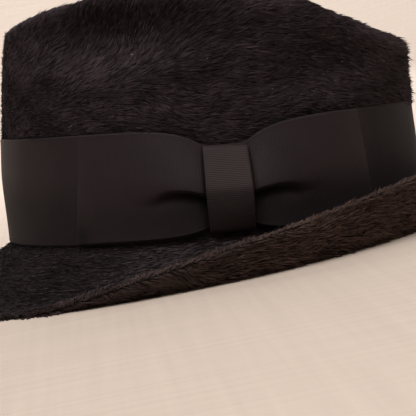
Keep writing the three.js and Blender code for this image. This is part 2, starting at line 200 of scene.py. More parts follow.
class TrilbyRibbon(bpy.types.PropertyGroup):
    """Sizes of the band and bow, as the solids have them"""

    band_height: a_length("Band height", "Width of the ribbon", 0.0495)
    band_thickness: a_length("Band thickness", "Of the ribbon", 0.001)
    bow_height: a_length("Bow height", "Width of its ribbon", 0.0485)
    bow_ply: a_length("Bow ply", "Thickness of its ribbon", 0.0008)
    bow_puff: a_length("Bow puff", "How far the loops swell", 0.0048)
    fold_hollow: a_length("Fold hollow", "Between the plies at the fold", 0.0008)
    front_loop: a_length("Front loop", "Knot's middle to the fold", 0.0693)
    rear_loop: a_length("Rear loop", "Knot's middle to the fold", 0.068)
    loop_flare: bpy.props.FloatProperty(
        name="Loop flare", description="How much wider the loops are at the foot", default=0.08)
    crease_height_front: a_length("Crease height, front", "Of the crease at its highest", 0.0209)
    crease_drop_front: a_length("Crease drop, front", "At the knot and at its end", 0.0028)
    crease_reach_front: a_length("Crease reach, front", "From the knot to its highest", 0.011)
    crease_height_rear: a_length("Crease height, rear", "Of the crease at its highest", 0.0199)
    crease_drop_rear: a_length("Crease drop, rear", "At the knot and at its end", 0.0021)
    crease_reach_rear: a_length("Crease reach, rear", "From the knot to its highest", 0.010)
    knot_width: a_length("Knot width", "Width of the strip", 0.019)
    knot_thickness: a_length("Knot thickness", "Of the strip", 0.001)
    knot_drop: a_length("Knot drop", "How far it hangs below the bow", 0.0014)
    knot_belly: a_length("Knot belly", "How far it bows out", 0.0062)
    gather_top: a_length("Gather, top", "Pulled in at the top", 0.0095)
    gather_top_spread: a_length("Spread, top", "Reach of the gather", 0.0115)
    gather_foot: a_length("Gather, foot", "Pulled in at the foot", 0.0036)
    gather_foot_spread: a_length("Spread, foot", "Reach of the gather", 0.0075)
    seat: a_length("Seat", "Gap between the layers", 0.0003)
    rib_pitch: a_length("Rib pitch", "Drawn a little coarse to show", 0.0008)


class TrilbyNap(bpy.types.PropertyGroup):
    """The long nap of the felt, in locks of many hairs"""

    crown_locks: a_count("Crown locks", "On each side of the crown", 45000)
    top_locks: a_count("Top locks", "On the crown's top", 21000)
    brim_locks: a_count("Brim locks", "On the brim's top", 40000)
    underside_locks: a_count("Underside locks", "Under the brim", 44000)
    edge_locks: a_count("Edge locks", "Short fur on the cut edge", 14000)
    lock_length: a_length("Lock length", "Usual length", 0.0052)
    lock_width: a_length("Lock width", "Usual width", 0.00045)
    tuft_size: a_length("Tuft size", "Spacing of the tufts that locks gather in", 0.0019)
    tuft_pull: bpy.props.FloatProperty(
        name="Tuft pull", description="Share of the way that tips lean to their tuft", default=0.55,
        min=0, max=1)
    seed: a_count("Seed", "Of every random draw", 7)


class TrilbyColours(bpy.types.PropertyGroup):
    """Colours as sRGB hex values"""

    nap_root: a_colour("Nap, root", "Deep in the nap", "#0f0b0b")
    nap_tip: a_colour("Nap, tip", "Lit hair tips", "#4e4246")
    # The underside's colours are lighter and warmer than the crown's: painted warm bounce light, browner at
    # the back
    nap_under_root: a_colour("Nap, underside root", "Deep in the nap under the brim", "#231b19")
    nap_under: a_colour("Nap, underside", "Lit hair tips under the brim", "#5d5150")
    nap_under_rear: a_colour("Nap, underside rear", "The same at the back, browner", "#68534b")
    felt: a_colour("Felt", "Bare felt", "#1c1615")
    ribbon: a_colour("Ribbon", "Grosgrain", "#1d1618")
    ribbon_light: a_colour("Ribbon, light", "Its lighter clouds", "#241c1f")
    # Painted sheen: the knot's colours are lighter than the ribbon's, for ribs turned to the light
    knot: a_colour("Knot", "Its ribs face the light", "#271e1f")
    knot_light: a_colour("Knot, light", "Its lighter clouds", "#2e2426")
    thread: a_colour("Thread", "Tack stitches", "#1a1717")
    lint: a_colour("Lint", "Specks of dust", "#b9b2ab")
    # Painted shade: nearly black, mixed into the ribbon in its folds, under the knot's turn and on the band
    # beyond the bow
    fold: a_colour("Fold", "Deep in the folds of the ribbon", "#030303")
    linen: a_colour("Linen", "Floor and backdrop", "#c6b7aa")


def read(table, column, place):
    """A table's column between its rows: the cubic through the four rows around a place that
    keeps their mean slopes (Catmull-Rom), with the table mirrored at both ends."""
    at = np.array(table["at"], float)
    values = np.array(table[column], float)
    last = len(at) - 1
    position = np.clip((place - at[0]) / (at[1] - at[0]), 0, last)
    row = np.minimum(position.astype(int), last - 1)
    t = position - row
    a, b, c, d = (values[np.minimum(np.abs(row + k), 2 * last - row - k)] for k in (-1, 0, 1, 2))
    even = 2 * b + (2 * a - 5 * b + 4 * c - d) * t ** 2
    return (even + (c - a) * t + (3 * b - a - 3 * c + d) * t ** 3) / 2


def turn_from(middle, azimuth):
    """The shorter turn from one azimuth to others, from -180 to 180 degrees."""
    return (azimuth - middle + 180) % 360 - 180


def read_around(table, column, azimuth):
    """The same for a table by azimuth, which serves both sides of the hat."""
    return read(table, column, np.abs(turn_from(0, azimuth)))


def bowl(square):
    """A round dent: (1 - q)^2 inside q = 1, where q is the share of the reach, squared."""
    return np.where(square < 1, (1 - square) ** 2, 0)


def bell(share):
    """exp(-s^2) of a share s of a reach: 1 in the middle, and soon nothing beyond the reach."""
    return np.exp(-(share ** 2))


def outline(felt, azimuth):
    """The crown's foot from above: x = half width * sin * swell, y = -half length * cos, where
    swell = 1 - egg * cos makes the back wider. Returns x, y and the unit normal's x, y."""
    egg = 0.03
    angle = azimuth * DEGREE
    half_length, half_width = felt.crown_length / 2, felt.crown_width / 2
    swell = 1 - egg * np.cos(angle)
    along_x = half_width * (np.cos(angle) * swell + egg * np.sin(angle) ** 2)
    along_y = half_length * np.sin(angle)
    length = np.hypot(along_x, along_y)
    x, y = half_width * np.sin(angle) * swell, -half_length * np.cos(angle)
    return x, y, along_y / length, -along_x / length


def lean_in(felt, azimuth, height):
    """How far the wall leans in: slope * height, and above 26% of the crown's height a further
    lean that grows with the square of the height over that line."""
    start = 0.26 * felt.crown_height
    above = np.maximum(0, (height - start) / (felt.crown_height - start))
    further = read_around(WALL, "lean", azimuth) * felt.crown_height * above ** 2
    return read_around(WALL, "slope", azimuth) * height + further


def beside_wall(felt, azimuth, height, proud):
    """Points that stand proud of the wall: outline + normal * (proud - lean), at a height."""
    x, y, out_x, out_y = outline(felt, azimuth)
    out = proud - lean_in(felt, azimuth, height)
    return np.stack(np.broadcast_arrays(x + out_x * out, y + out_y * out, height), -1)


def top_height(felt, x, y):
    """Height of the crown's top: the ridge line less a teardrop bowl, wider at the back."""
    along = y / (felt.crown_length / 2)
    half_width = TEARDROP["half_width"] * (1 + TEARDROP["widening"] * along) * felt.crown_width / 2
    square = ((along - TEARDROP["middle"]) / TEARDROP["half_length"]) ** 2 + (x / half_width) ** 2
    return read(RIDGE, "height", along) * felt.crown_height - felt.crease_depth * bowl(square)


def dent_at(felt, points):
    """How far the pinches and the dimple push points in: the sum of bowls over the share of
    each dent's reach, faded to nothing over the last 35% of the way to the crown's middle."""
    along = points[..., 1] / (felt.crown_length / 2)
    up = points[..., 2] / felt.crown_height
    fade = np.minimum(1, np.abs(points[..., 0]) / (0.35 * felt.crown_width / 2))
    depth = np.zeros(along.shape)
    for dent in DENTS:
        square = ((along - dent["along"]) / dent["half_length"]) ** 2
        square = square + ((up - dent["up"]) / dent["half_height"]) ** 2
        here = np.sign(points[..., 0]) == dent["side"]
        depth += here * fade * getattr(felt, dent["size"]) * bowl(square)
    return depth


def crown(felt, azimuth, leg, share):
    """The crown's outside. Top: the outline scaled by rim * share, at the top's height. Corner: a
    quarter ellipse from the rim out and down by the drop. Wall: down to the foot."""
    x, y, out_x, out_y = outline(felt, azimuth)
    rim = read_around(WALL, "rim", azimuth)
    drop = read_around(WALL, "drop", azimuth) * felt.crown_height
    inset = lean_in(felt, azimuth, top_height(felt, x, y) - drop)
    edge_x, edge_y = x - out_x * inset, y - out_y * inset
    if leg == "wall":
        points = beside_wall(felt, azimuth, (top_height(felt, edge_x, edge_y) - drop) * (1 - share), 0)
    else:
        turn = share * math.pi / 2 if leg == "corner" else 0
        out = rim * share if leg == "top" else rim + (1 - rim) * math.sin(turn)
        height = top_height(felt, edge_x * out, edge_y * out) - drop * (1 - math.cos(turn))
        points = np.stack([edge_x * out, edge_y * out, height], -1)
    dent = dent_at(felt, points)
    return points - np.stack([out_x * dent, out_y * dent, 0 * dent], -1)


def brim(felt, azimuth, leg, share):
    """The brim's top, walked out from the foot: an arc of radius r turns the heading from h to k
    and moves out by r (sin k - sin h), up by r (cos h - cos k), and a straight by length."""
    inner = read_around(BRIM, "inner", azimuth) * DEGREE
    outer = read_around(BRIM, "outer", azimuth) * DEGREE
    width, slope, roll = (
        read_around(BRIM, column, azimuth) * felt.brim_width for column in ("width", "slope", "roll"))
    wall = -math.pi / 2
    rim = width - felt.break_radius * (inner - wall) - slope - roll * (outer - inner)
    legs = (("break", felt.break_radius, wall, inner), ("slope", slope, inner, None),
            ("roll", roll, inner, outer), ("rim", rim, outer, None))
    out, up = np.zeros(azimuth.shape), np.zeros(azimuth.shape)
    for name, size, start, end in legs:
        walked = share if name == leg else 1
        if end is None:
            out, up = out + size * walked * np.cos(start), up + size * walked * np.sin(start)
        else:
            heading = start + (end - start) * walked
            out = out + size * (np.sin(heading) - np.sin(start))
            up = up + size * (np.cos(start) - np.cos(heading))
        if name == leg:
            break
    x, y, out_x, out_y = outline(felt, azimuth)
    return np.stack([x + out_x * out, y + out_y * out, up], -1)


def felt_grid(felt, rows, columns):
    """The felt's outside as a grid: rows from the crown's middle to the brim's edge, columns by
    azimuth."""
    azimuth = np.arange(columns) * 360 / columns
    grid = []
    for leg, shares in rows:
        surface = crown if leg in ("top", "corner", "wall") else brim
        grid += [surface(felt, azimuth, leg, share) for share in shares]
    return np.array(grid)


def ease(share):
    """A soft step: 3 s^2 - 2 s^3 with the share s held between 0 and 1."""
    held = np.clip(share, 0, 1)
    return held ** 2 * (3 - 2 * held)


def unit(vectors):
    """Vectors over their lengths."""
    return vectors / np.maximum(np.linalg.norm(vectors, axis=-1, keepdims=True), 1e-12)


def square_to(grid):
    """Unit normals of a ring grid: the cross product of the mean direction down a column, from
    the unit steps before and after, and the step between the neighbours round the row."""
    steps = unit(np.diff(grid, axis=0))
    down = np.concatenate([steps[:1], steps[:-1] + steps[1:], steps[-1:]])
    around = np.roll(grid, -1, 1) - np.roll(grid, 1, 1)
    normals = unit(np.cross(down, around))
    normals[0] = (0, 0, 1)
    return normals


def resting(felt):
    """Where a level surface meets the brim: of all lines through an underside point ahead of the
    middle and one behind it, the lowest at the middle. Returns its slope and height, and the
    lean and shift that bring it level, with the middle of the felt's box over the origin."""
    outside = felt_grid(felt, SOLID_ROWS, SOLID_COLUMNS)
    underside = outside - square_to(outside) * felt.thickness
    points = underside.reshape(-1, 3)
    ahead, behind = points[points[:, 1] < 0], points[points[:, 1] >= 0]
    slope = (behind[None, :, 2] - ahead[:, None, 2]) / (behind[None, :, 1] - ahead[:, None, 1])
    height = behind[None, :, 2] - slope * behind[None, :, 1]
    lowest = np.unravel_index(np.argmin(height), height.shape)
    rest = {"slope": slope[lowest], "height": height[lowest] + felt.rest_press, "shift": np.zeros(3)}
    both = np.concatenate([outside.reshape(-1, 3), press(points, rest)])
    leant = settle(both, rest)
    rest["shift"] = -np.array([*(leant.min(0) + leant.max(0))[:2] / 2, leant[:, 2].min()])
    return rest


def press(points, rest):
    """Felt pressed flat where it rests: no point lies under the resting line."""
    pressed = points.copy()
    pressed[..., 2] = np.maximum(points[..., 2], rest["height"] + rest["slope"] * points[..., 1])
    return pressed


def settle(points, rest):
    """Level points brought to the frame: turned about X by the lean, then shifted."""
    lean = math.atan(rest["slope"])
    x, y, z = np.moveaxis(points, -1, 0)
    y, z = y * math.cos(lean) + z * math.sin(lean), z * math.cos(lean) - y * math.sin(lean)
    return np.stack([x, y, z], -1) + rest["shift"]


def turn_back(vectors, rest):
    """Directions leant with the hat: the same turn with no shift."""
    return settle(vectors, {"slope": rest["slope"], "shift": 0})


def ripple(points, size, seed, terms=6):
    """Smooth noise from -1 to 1: sines of the points along random directions, with wavelengths
    of 0.6 to 1.6 times a size, summed, divided by the root of their number and by 1.6, and held
    in that range."""
    rng = np.random.default_rng(seed)
    total, limit = np.zeros(points.shape[:-1]), 1.6
    for _ in range(terms):
        direction = unit(rng.normal(size=3))
        wave = size * rng.uniform(0.6, 1.6)
        total += np.sin(points @ direction * 2 * math.pi / wave + rng.uniform(0, 2 * math.pi))
    return np.clip(total / math.sqrt(terms), -limit, limit) / limit


def new_mesh(name, points, faces):
    """An object at the origin from arrays: points n x 3, faces m x corners."""
    mesh = bpy.data.meshes.new(name)
    mesh.vertices.add(len(points))
    mesh.vertices.foreach_set("co", np.asarray(points, np.float32).ravel())
    corners = faces.shape[1]
    mesh.loops.add(faces.size)
    mesh.loops.foreach_set("vertex_index", np.asarray(faces, np.int32).ravel())
    mesh.polygons.add(len(faces))
    mesh.polygons.foreach_set("loop_start", np.arange(0, faces.size, corners, dtype=np.int32))
    mesh.update(calc_edges=True)
    piece = bpy.data.objects.new(name, mesh)
    bpy.context.scene.collection.objects.link(piece)
    return piece


def sheet_faces(rows, columns, ring):
    """Quads of a closed sheet between a front grid and a back grid, numbered one after the other,
    with the grid step of each corner for its UV."""
    steps = columns if ring else columns - 1
    i, j = (a.ravel() for a in np.meshgrid(np.arange(rows - 1), np.arange(steps), indexing="ij"))
    edge, zero = np.arange(steps), np.zeros(steps, int)
    last = zero + rows - 1
    quads = [
        [(0, i, j), (0, i + 1, j), (0, i + 1, j + 1), (0, i, j + 1)],
        [(1, i, j + 1), (1, i + 1, j + 1), (1, i + 1, j), (1, i, j)],
        [(0, last, edge), (1, last, edge), (1, last, edge + 1), (0, last, edge + 1)],
        [(0, zero, edge + 1), (1, zero, edge + 1), (1, zero, edge), (0, zero, edge)],
    ]
    if not ring:
        side, first = np.arange(rows - 1), np.zeros(rows - 1, int)
        end = first + columns - 1
        quads.append([(0, side, first), (1, side, first), (1, side + 1, first), (0, side + 1, first)])
        quads.append([(0, side + 1, end), (1, side + 1, end), (1, side, end), (0, side, end)])
    faces = [np.stack([(s * rows + r) * columns + c % columns for s, r, c in quad], -1) for quad in quads]
    steps_down = [np.stack([r for _, r, _ in quad], -1) for quad in quads]
    steps_along = [np.stack([c for _, _, c in quad], -1) for quad in quads]
    return np.concatenate(faces), np.concatenate(steps_down), np.concatenate(steps_along)


def run(points):
    """Length of the line through a row of points."""
    return float(np.linalg.norm(np.diff(points, axis=0), axis=-1).sum())


def cloth_sheet(name, front, back, rest, ring=False, uv=None, painted_shade=None):
    """A closed sheet between two grids, brought to rest and smooth shaded. uv gives metres along
    and across it on the grid, and the last argument how much painted shade each point gets, from 0 to 1."""
    rows, columns = front.shape[:2]
    faces, down, along = sheet_faces(rows, columns, ring)
    points = settle(np.concatenate([front.reshape(-1, 3), back.reshape(-1, 3)]), rest)
    piece = new_mesh(name, points, faces)
    if uv is not None:
        corners = [np.broadcast_to(part, (rows, columns + ring))[down, along] for part in uv]
        layer = piece.data.uv_layers.new(name="Ribbon")
        layer.data.foreach_set("uv", np.stack(corners, -1).astype(np.float32).ravel())
    if painted_shade is not None:
        both = np.tile(np.broadcast_to(painted_shade, (rows, columns)).ravel(), 2).astype(np.float32)
        piece.data.attributes.new("painted_shade", "FLOAT", "POINT").data.foreach_set("value", both)
    piece.data.polygons.foreach_set("use_smooth", np.ones(len(faces), bool))
    return piece


def linear(hex_colour):
    """An sRGB hex colour as linear RGBA."""
    srgb = np.array([int(hex_colour[k:k + 2], 16) for k in (1, 3, 5)]) / 255
    low, high = srgb / 12.92, ((srgb + 0.055) / 1.055) ** 2.4
    return (*np.where(srgb <= 0.04045, low, high).tolist(), 1.0)


def add(tree, kind, settings=None, links=None):
    """Adds a node. Settings give its properties, or its inputs' values by name or number, and
    links the outputs that feed its inputs."""
    node = tree.nodes.new(kind)
    for key, value in (settings or {}).items():
        if isinstance(key, int) or key in node.inputs:
            node.inputs[key].default_value = value
        else:
            setattr(node, key, value)
    for key, output in (links or {}).items():
        tree.links.new(output, node.inputs[key])
    return node


def blank_material(name):
    """A material with only its output node, and its tree."""
    material = bpy.data.materials.new(name)
    material.use_nodes = True
    tree = material.node_tree
    tree.nodes.clear()
    return material, tree, tree.nodes.new("ShaderNodeOutputMaterial")


def nap_material(name, root, tip, rear_tip):
    """Beaver-like fur felt, brushed up to a long nap: dark roots, lighter dull tips, a faint
    gloss along the hairs, least where they lie dark. Each lock's shade comes with its mesh, and
    in places holds painted sheen and painted shade. The tips can change colour from the front of
    the hat to its back: under the brim that is painted warm bounce light, browner at the back."""
    material, tree, output = blank_material(name)
    shade = add(tree, "ShaderNodeAttribute", {"attribute_name": "shade"})
    place = add(tree, "ShaderNodeTexCoord")
    split = add(tree, "ShaderNodeSeparateXYZ", None, {"Vector": place.outputs["Object"]})
    back = add(tree, "ShaderNodeMapRange", {"From Min": -60 * MM, "From Max": 50 * MM},
               {"Value": split.outputs["Y"]})
    tips = add(tree, "ShaderNodeMix", {"data_type": "RGBA", FIRST: linear(tip), SECOND: linear(rear_tip)},
               {SHARE: back.outputs[0]})
    colour = add(tree, "ShaderNodeMix", {"data_type": "RGBA", FIRST: linear(root)},
                 {SHARE: shade.outputs["Fac"], SECOND: tips.outputs[MIXED]})
    dull = add(tree, "ShaderNodeMapRange", {"From Max": 0.75, "To Min": 1.0, "To Max": 0.6},
               {"Value": shade.outputs["Fac"]})
    shader = add(tree, "ShaderNodeBsdfPrincipled", {"Specular IOR Level": 0.13},
                 {"Base Color": colour.outputs[MIXED], "Roughness": dull.outputs[0]})
    tree.links.new(shader.outputs[0], output.inputs[0])
    return material


def felt_material(colours):
    """Fur felt under its nap and inside the hat: matted fibres with no thread, dull, mottled 6 mm
    and pitted 1 mm across."""
    material, tree, output = blank_material("Fur felt")
    place = add(tree, "ShaderNodeTexCoord").outputs["Object"]
    mottle = add(tree, "ShaderNodeTexNoise", {"Scale": 160, "Detail": 5}, {"Vector": place})
    fibres = add(tree, "ShaderNodeTexNoise", {"Scale": 900, "Detail": 3}, {"Vector": place})
    colour = add(tree, "ShaderNodeMix",
                 {"data_type": "RGBA", FIRST: linear(colours.nap_root), SECOND: linear(colours.felt)},
                 {SHARE: mottle.outputs["Fac"]})
    bump = add(tree, "ShaderNodeBump", {"Strength": 0.6, "Distance": 0.4 * MM},
               {"Height": fibres.outputs["Fac"]})
    shader = add(tree, "ShaderNodeBsdfPrincipled", {"Roughness": 0.9, "Specular IOR Level": 0.2},
                 {"Base Color": colour.outputs[MIXED], "Normal": bump.outputs[0]})
    tree.links.new(shader.outputs[0], output.inputs[0])
    return material


def grosgrain_material(name, ribbon, dark, light, fold):
    """Grosgrain ribbon, viscose and cotton: round ribs across its length that catch a dull satin
    light, over an uneven weave of 0.7 mm, with lighter clouds 22 mm across. Painted shade darkens
    it and it dulls where the mesh says, in its folds and elsewhere."""
    material, tree, output = blank_material(name)
    along = add(tree, "ShaderNodeUVMap", {"uv_map": "Ribbon"})
    split = add(tree, "ShaderNodeSeparateXYZ", None, {"Vector": along.outputs[0]})
    turns = add(tree, "ShaderNodeMath", {"operation": "MULTIPLY", 1: 2 * math.pi / ribbon.rib_pitch},
                {0: split.outputs["X"]})
    ribs = add(tree, "ShaderNodeMath", {"operation": "SINE"}, {0: turns.outputs[0]})
    place = add(tree, "ShaderNodeTexCoord").outputs["Object"]
    weave = add(tree, "ShaderNodeTexNoise", {"Scale": 1400, "Detail": 2}, {"Vector": place})
    cloud = add(tree, "ShaderNodeTexNoise", {"Scale": 45, "Detail": 3}, {"Vector": place})
    height = add(tree, "ShaderNodeMath", {"operation": "MULTIPLY_ADD", 1: 0.5},
                 {0: ribs.outputs[0], 2: weave.outputs["Fac"]})
    bump = add(tree, "ShaderNodeBump", {"Strength": 0.6, "Distance": 0.16 * MM},
               {"Height": height.outputs[0]})
    spread = add(tree, "ShaderNodeMapRange", {"From Min": 0.3, "From Max": 0.7},
                 {"Value": cloud.outputs["Fac"]})
    colour = add(tree, "ShaderNodeMix", {"data_type": "RGBA", FIRST: linear(dark), SECOND: linear(light)},
                 {SHARE: spread.outputs[0]})
    # Painted shade: the fold colour, nearly black, is mixed in as far as the mesh says
    painted_shade = add(tree, "ShaderNodeAttribute", {"attribute_name": "painted_shade"})
    folded = add(tree, "ShaderNodeMix", {"data_type": "RGBA", SECOND: linear(fold)},
                 {SHARE: painted_shade.outputs["Fac"], FIRST: colour.outputs[MIXED]})
    dull = add(tree, "ShaderNodeMapRange", {"To Min": 0.5, "To Max": 1.0}, {"Value": painted_shade.outputs["Fac"]})
    shader = add(tree, "ShaderNodeBsdfPrincipled",
                 {"Specular IOR Level": 0.14, "Sheen Weight": 0.02, "Sheen Roughness": 0.5},
                 {"Base Color": folded.outputs[MIXED], "Normal": bump.outputs[0],
                  "Roughness": dull.outputs[0]})
    tree.links.new(shader.outputs[0], output.inputs[0])
    return material


def shared_grosgrain(ribbon, colours):
    """The one material of the band and the bow's loops."""
    return bpy.data.materials.get("Grosgrain") or grosgrain_material(
        "Grosgrain", ribbon, colours.ribbon, colours.ribbon_light, colours.fold)


def plain_material(name, hex_colour, roughness):
    """One dull finish for sewing thread and lint, with a faint mottle."""
    material, tree, output = blank_material(name)
    place = add(tree, "ShaderNodeTexCoord")
    mottle = add(tree, "ShaderNodeTexNoise", {"Scale": 30, "Detail": 4}, {"Vector": place.outputs["Object"]})
    base = np.array(linear(hex_colour))
    colour = add(tree, "ShaderNodeMix",
                 {"data_type": "RGBA", FIRST: (*(base[:3] * 0.97), 1), SECOND: tuple(base)},
                 {SHARE: mottle.outputs["Fac"]})
    shader = add(tree, "ShaderNodeBsdfPrincipled", {"Roughness": roughness, "Specular IOR Level": 0.2},
                 {"Base Color": colour.outputs[MIXED]})
    tree.links.new(shader.outputs[0], output.inputs[0])
    return material


def linen_material(colours):
    """Plain linen, woven with slubs: threads of uneven thickness both ways, drawn 4 mm apart so
    that they show, in faint bands of light and dark."""
    material, tree, output = blank_material("Linen")
    place = add(tree, "ShaderNodeTexCoord")
    bands = {}
    for socket, stretch in enumerate(((6, 220, 220), (220, 6, 8))):
        scale = add(tree, "ShaderNodeMapping", {"Scale": stretch}, {"Vector": place.outputs["Object"]})
        noise = add(tree, "ShaderNodeTexNoise", {"Scale": 1, "Detail": 2}, {"Vector": scale.outputs[0]})
        bands[socket] = noise.outputs["Fac"]
    both = add(tree, "ShaderNodeMath", {"operation": "ADD"}, bands)
    share = add(tree, "ShaderNodeMapRange", {"From Min": 0.6, "From Max": 1.4}, {"Value": both.outputs[0]})
    base = np.array(linear(colours.linen))
    colour = add(tree, "ShaderNodeMix",
                 {"data_type": "RGBA", FIRST: (*(base[:3] * 0.93), 1),
                  SECOND: tuple(np.minimum(base * 1.04, 1))}, {SHARE: share.outputs[0]})
    shader = add(tree, "ShaderNodeBsdfPrincipled", {"Roughness": 0.95, "Specular IOR Level": 0.1},
                 {"Base Color": colour.outputs[MIXED]})
    tree.links.new(shader.outputs[0], output.inputs[0])
    return material


def finished(piece, material, slot, *nodes):
    """Gives a piece its material, and what it rides on and replaces.
    slot is not used.
    """
    piece.data.materials.append(material)
    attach(piece, "root")
    if nodes:
        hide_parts(*nodes)


def scatter(grid, normals, weight, count, rng):
    """Random places on a ring grid. A cell is drawn with a chance of its area times its weight,
    and the place in it is the bilinear mix of its corners. Returns place, normal, the unit
    direction round the ring, and the row and column as real numbers."""
    points = np.concatenate([grid, grid[:, :1]], 1)
    square = np.concatenate([normals, normals[:, :1]], 1)
    across = np.cross(points[1:, :-1] - points[:-1, :-1], points[:-1, 1:] - points[:-1, :-1])
    chance = (np.linalg.norm(across, axis=-1) * weight).ravel()
    cell = rng.choice(chance.size, count, p=chance / chance.sum())
    i, j = np.divmod(cell, grid.shape[1])
    u, v = rng.uniform(size=(2, count, 1))

    def mix(a):
        low = a[i, j] * (1 - v) + a[i, j + 1] * v
        high = a[i + 1, j] * (1 - v) + a[i + 1, j + 1] * v
        return low * (1 - u) + high * u

    upper, lower = points[i, j + 1] - points[i, j], points[i + 1, j + 1] - points[i + 1, j]
    around = unit(upper * (1 - u) + lower * u)
    return mix(points), unit(mix(square)), around, i + u[:, 0], j + v[:, 0]


def chance_of(a, b, c):
    """A number from 0 to 1 that looks random but depends only on three whole numbers: the part
    after the point of 43758.5453 * sin(127.1 a + 311.7 b + 74.7 c)."""
    value = np.sin(a * 127.1 + b * 311.7 + c * 74.7) * 43758.5453
    return value - np.floor(value)


def tufts(grid, row, column, size):
    """Gathers places on a ring grid into tufts. The surface is ruled in cells of one size, with a
    tuft's middle at a chance place in each, and each place belongs to the nearest of the nine
    round it. Returns how far round and down its middle lies, and two chances for the tuft."""
    down = np.linalg.norm(np.diff(grid, axis=0), axis=-1).mean(1)
    walked = np.concatenate([[0], np.cumsum(down)])
    radii = np.hypot(grid[..., 0], grid[..., 1]).mean(1)
    turn = column / grid.shape[1] * 2 * math.pi
    place = np.interp(row, np.arange(len(walked)), walked)
    best = np.full(len(row), np.inf)
    result = np.zeros((4, len(row)))
    for k in (-1, 0, 1):
        cell_row = np.floor(place / size) + k
        radius = np.maximum(np.interp((cell_row + 0.5) * size, walked, radii), size)
        for m in (-1, 0, 1):
            cell = np.floor(turn * radius / size) + m
            away_round = (cell + chance_of(cell_row, cell, 1)) * size - turn * radius
            away_down = (cell_row + chance_of(cell_row, cell, 2)) * size - place
            far = away_round ** 2 + away_down ** 2
            found = [away_round, away_down, chance_of(cell_row, cell, 3), chance_of(cell_row, cell, 4)]
            result = np.where(far < best, found, result)
            best = np.minimum(far, best)
    return result


def locks(name, place, normal, flow, length, width, lift, pull, shade, rest, rng):
    """A mesh of fur locks. Each is a closed wedge of four triangles: a root across the flow, sunk
    0.15 mm in the felt, a ridge at 45% of its length and a tip, which lies at root + length (cos
    lift * flow + sin lift * normal) and droops. Its tuft pulls the tip in, and the ridge half as
    far. Locks are drawn wider than a hair, so that a tuft of many shows. What would sink in the
    surface that the hat rests on lies on it instead, and splays outwards."""
    length, width, lift = length[:, None], width[:, None], lift[:, None]
    side = unit(np.cross(normal, flow))
    root = place - normal * 0.15 * MM
    reach = flow * np.cos(lift) + normal * np.sin(lift)
    ridge = root + reach * length * 0.45 + normal * (0.28 * width + 0.1 * length * np.sin(lift)) + pull * 0.5
    tip = root + reach * length - normal * 0.12 * length * np.sin(lift) + pull
    corners = np.stack([root + side * width / 2, root - side * width / 2, ridge, tip], 1)
    corners = settle(corners, rest)
    floor = 0.1 * MM * rng.uniform(0.5, 2, corners.shape[:2])
    sunk = np.maximum(0, floor - corners[..., 2])
    corners[..., :2] += 1.4 * sunk[..., None] * unit(corners[..., :2])
    corners[..., 2] += sunk
    count = len(place)
    wedge = np.array([[0, 2, 3], [1, 3, 2], [0, 1, 2], [0, 3, 1]])
    faces = (np.arange(count)[:, None, None] * 4 + wedge).reshape(-1, 3)
    piece = new_mesh(name, corners.reshape(-1, 3), faces)
    root_to_tip = np.array([0.25, 0.25, 0.8, 1.15])
    tint = piece.data.attributes.new("shade", "FLOAT", "POINT")
    tint.data.foreach_set("value", np.clip(shade[:, None] * root_to_tip, 0, 1).astype(np.float32).ravel())
    return piece


def fading_sum(spots, amount, azimuth, height):
    """Sum of the spots' amounts, each fading as exp(-square of the share of its reach)."""
    total = np.zeros(azimuth.shape)
    for spot in spots:
        off = turn_from(spot["azimuth"], azimuth) / spot["reach"]
        up = (height - spot["height"]) / spot["rise"]
        total += spot[amount] * np.exp(-(off ** 2 + up ** 2))
    return total


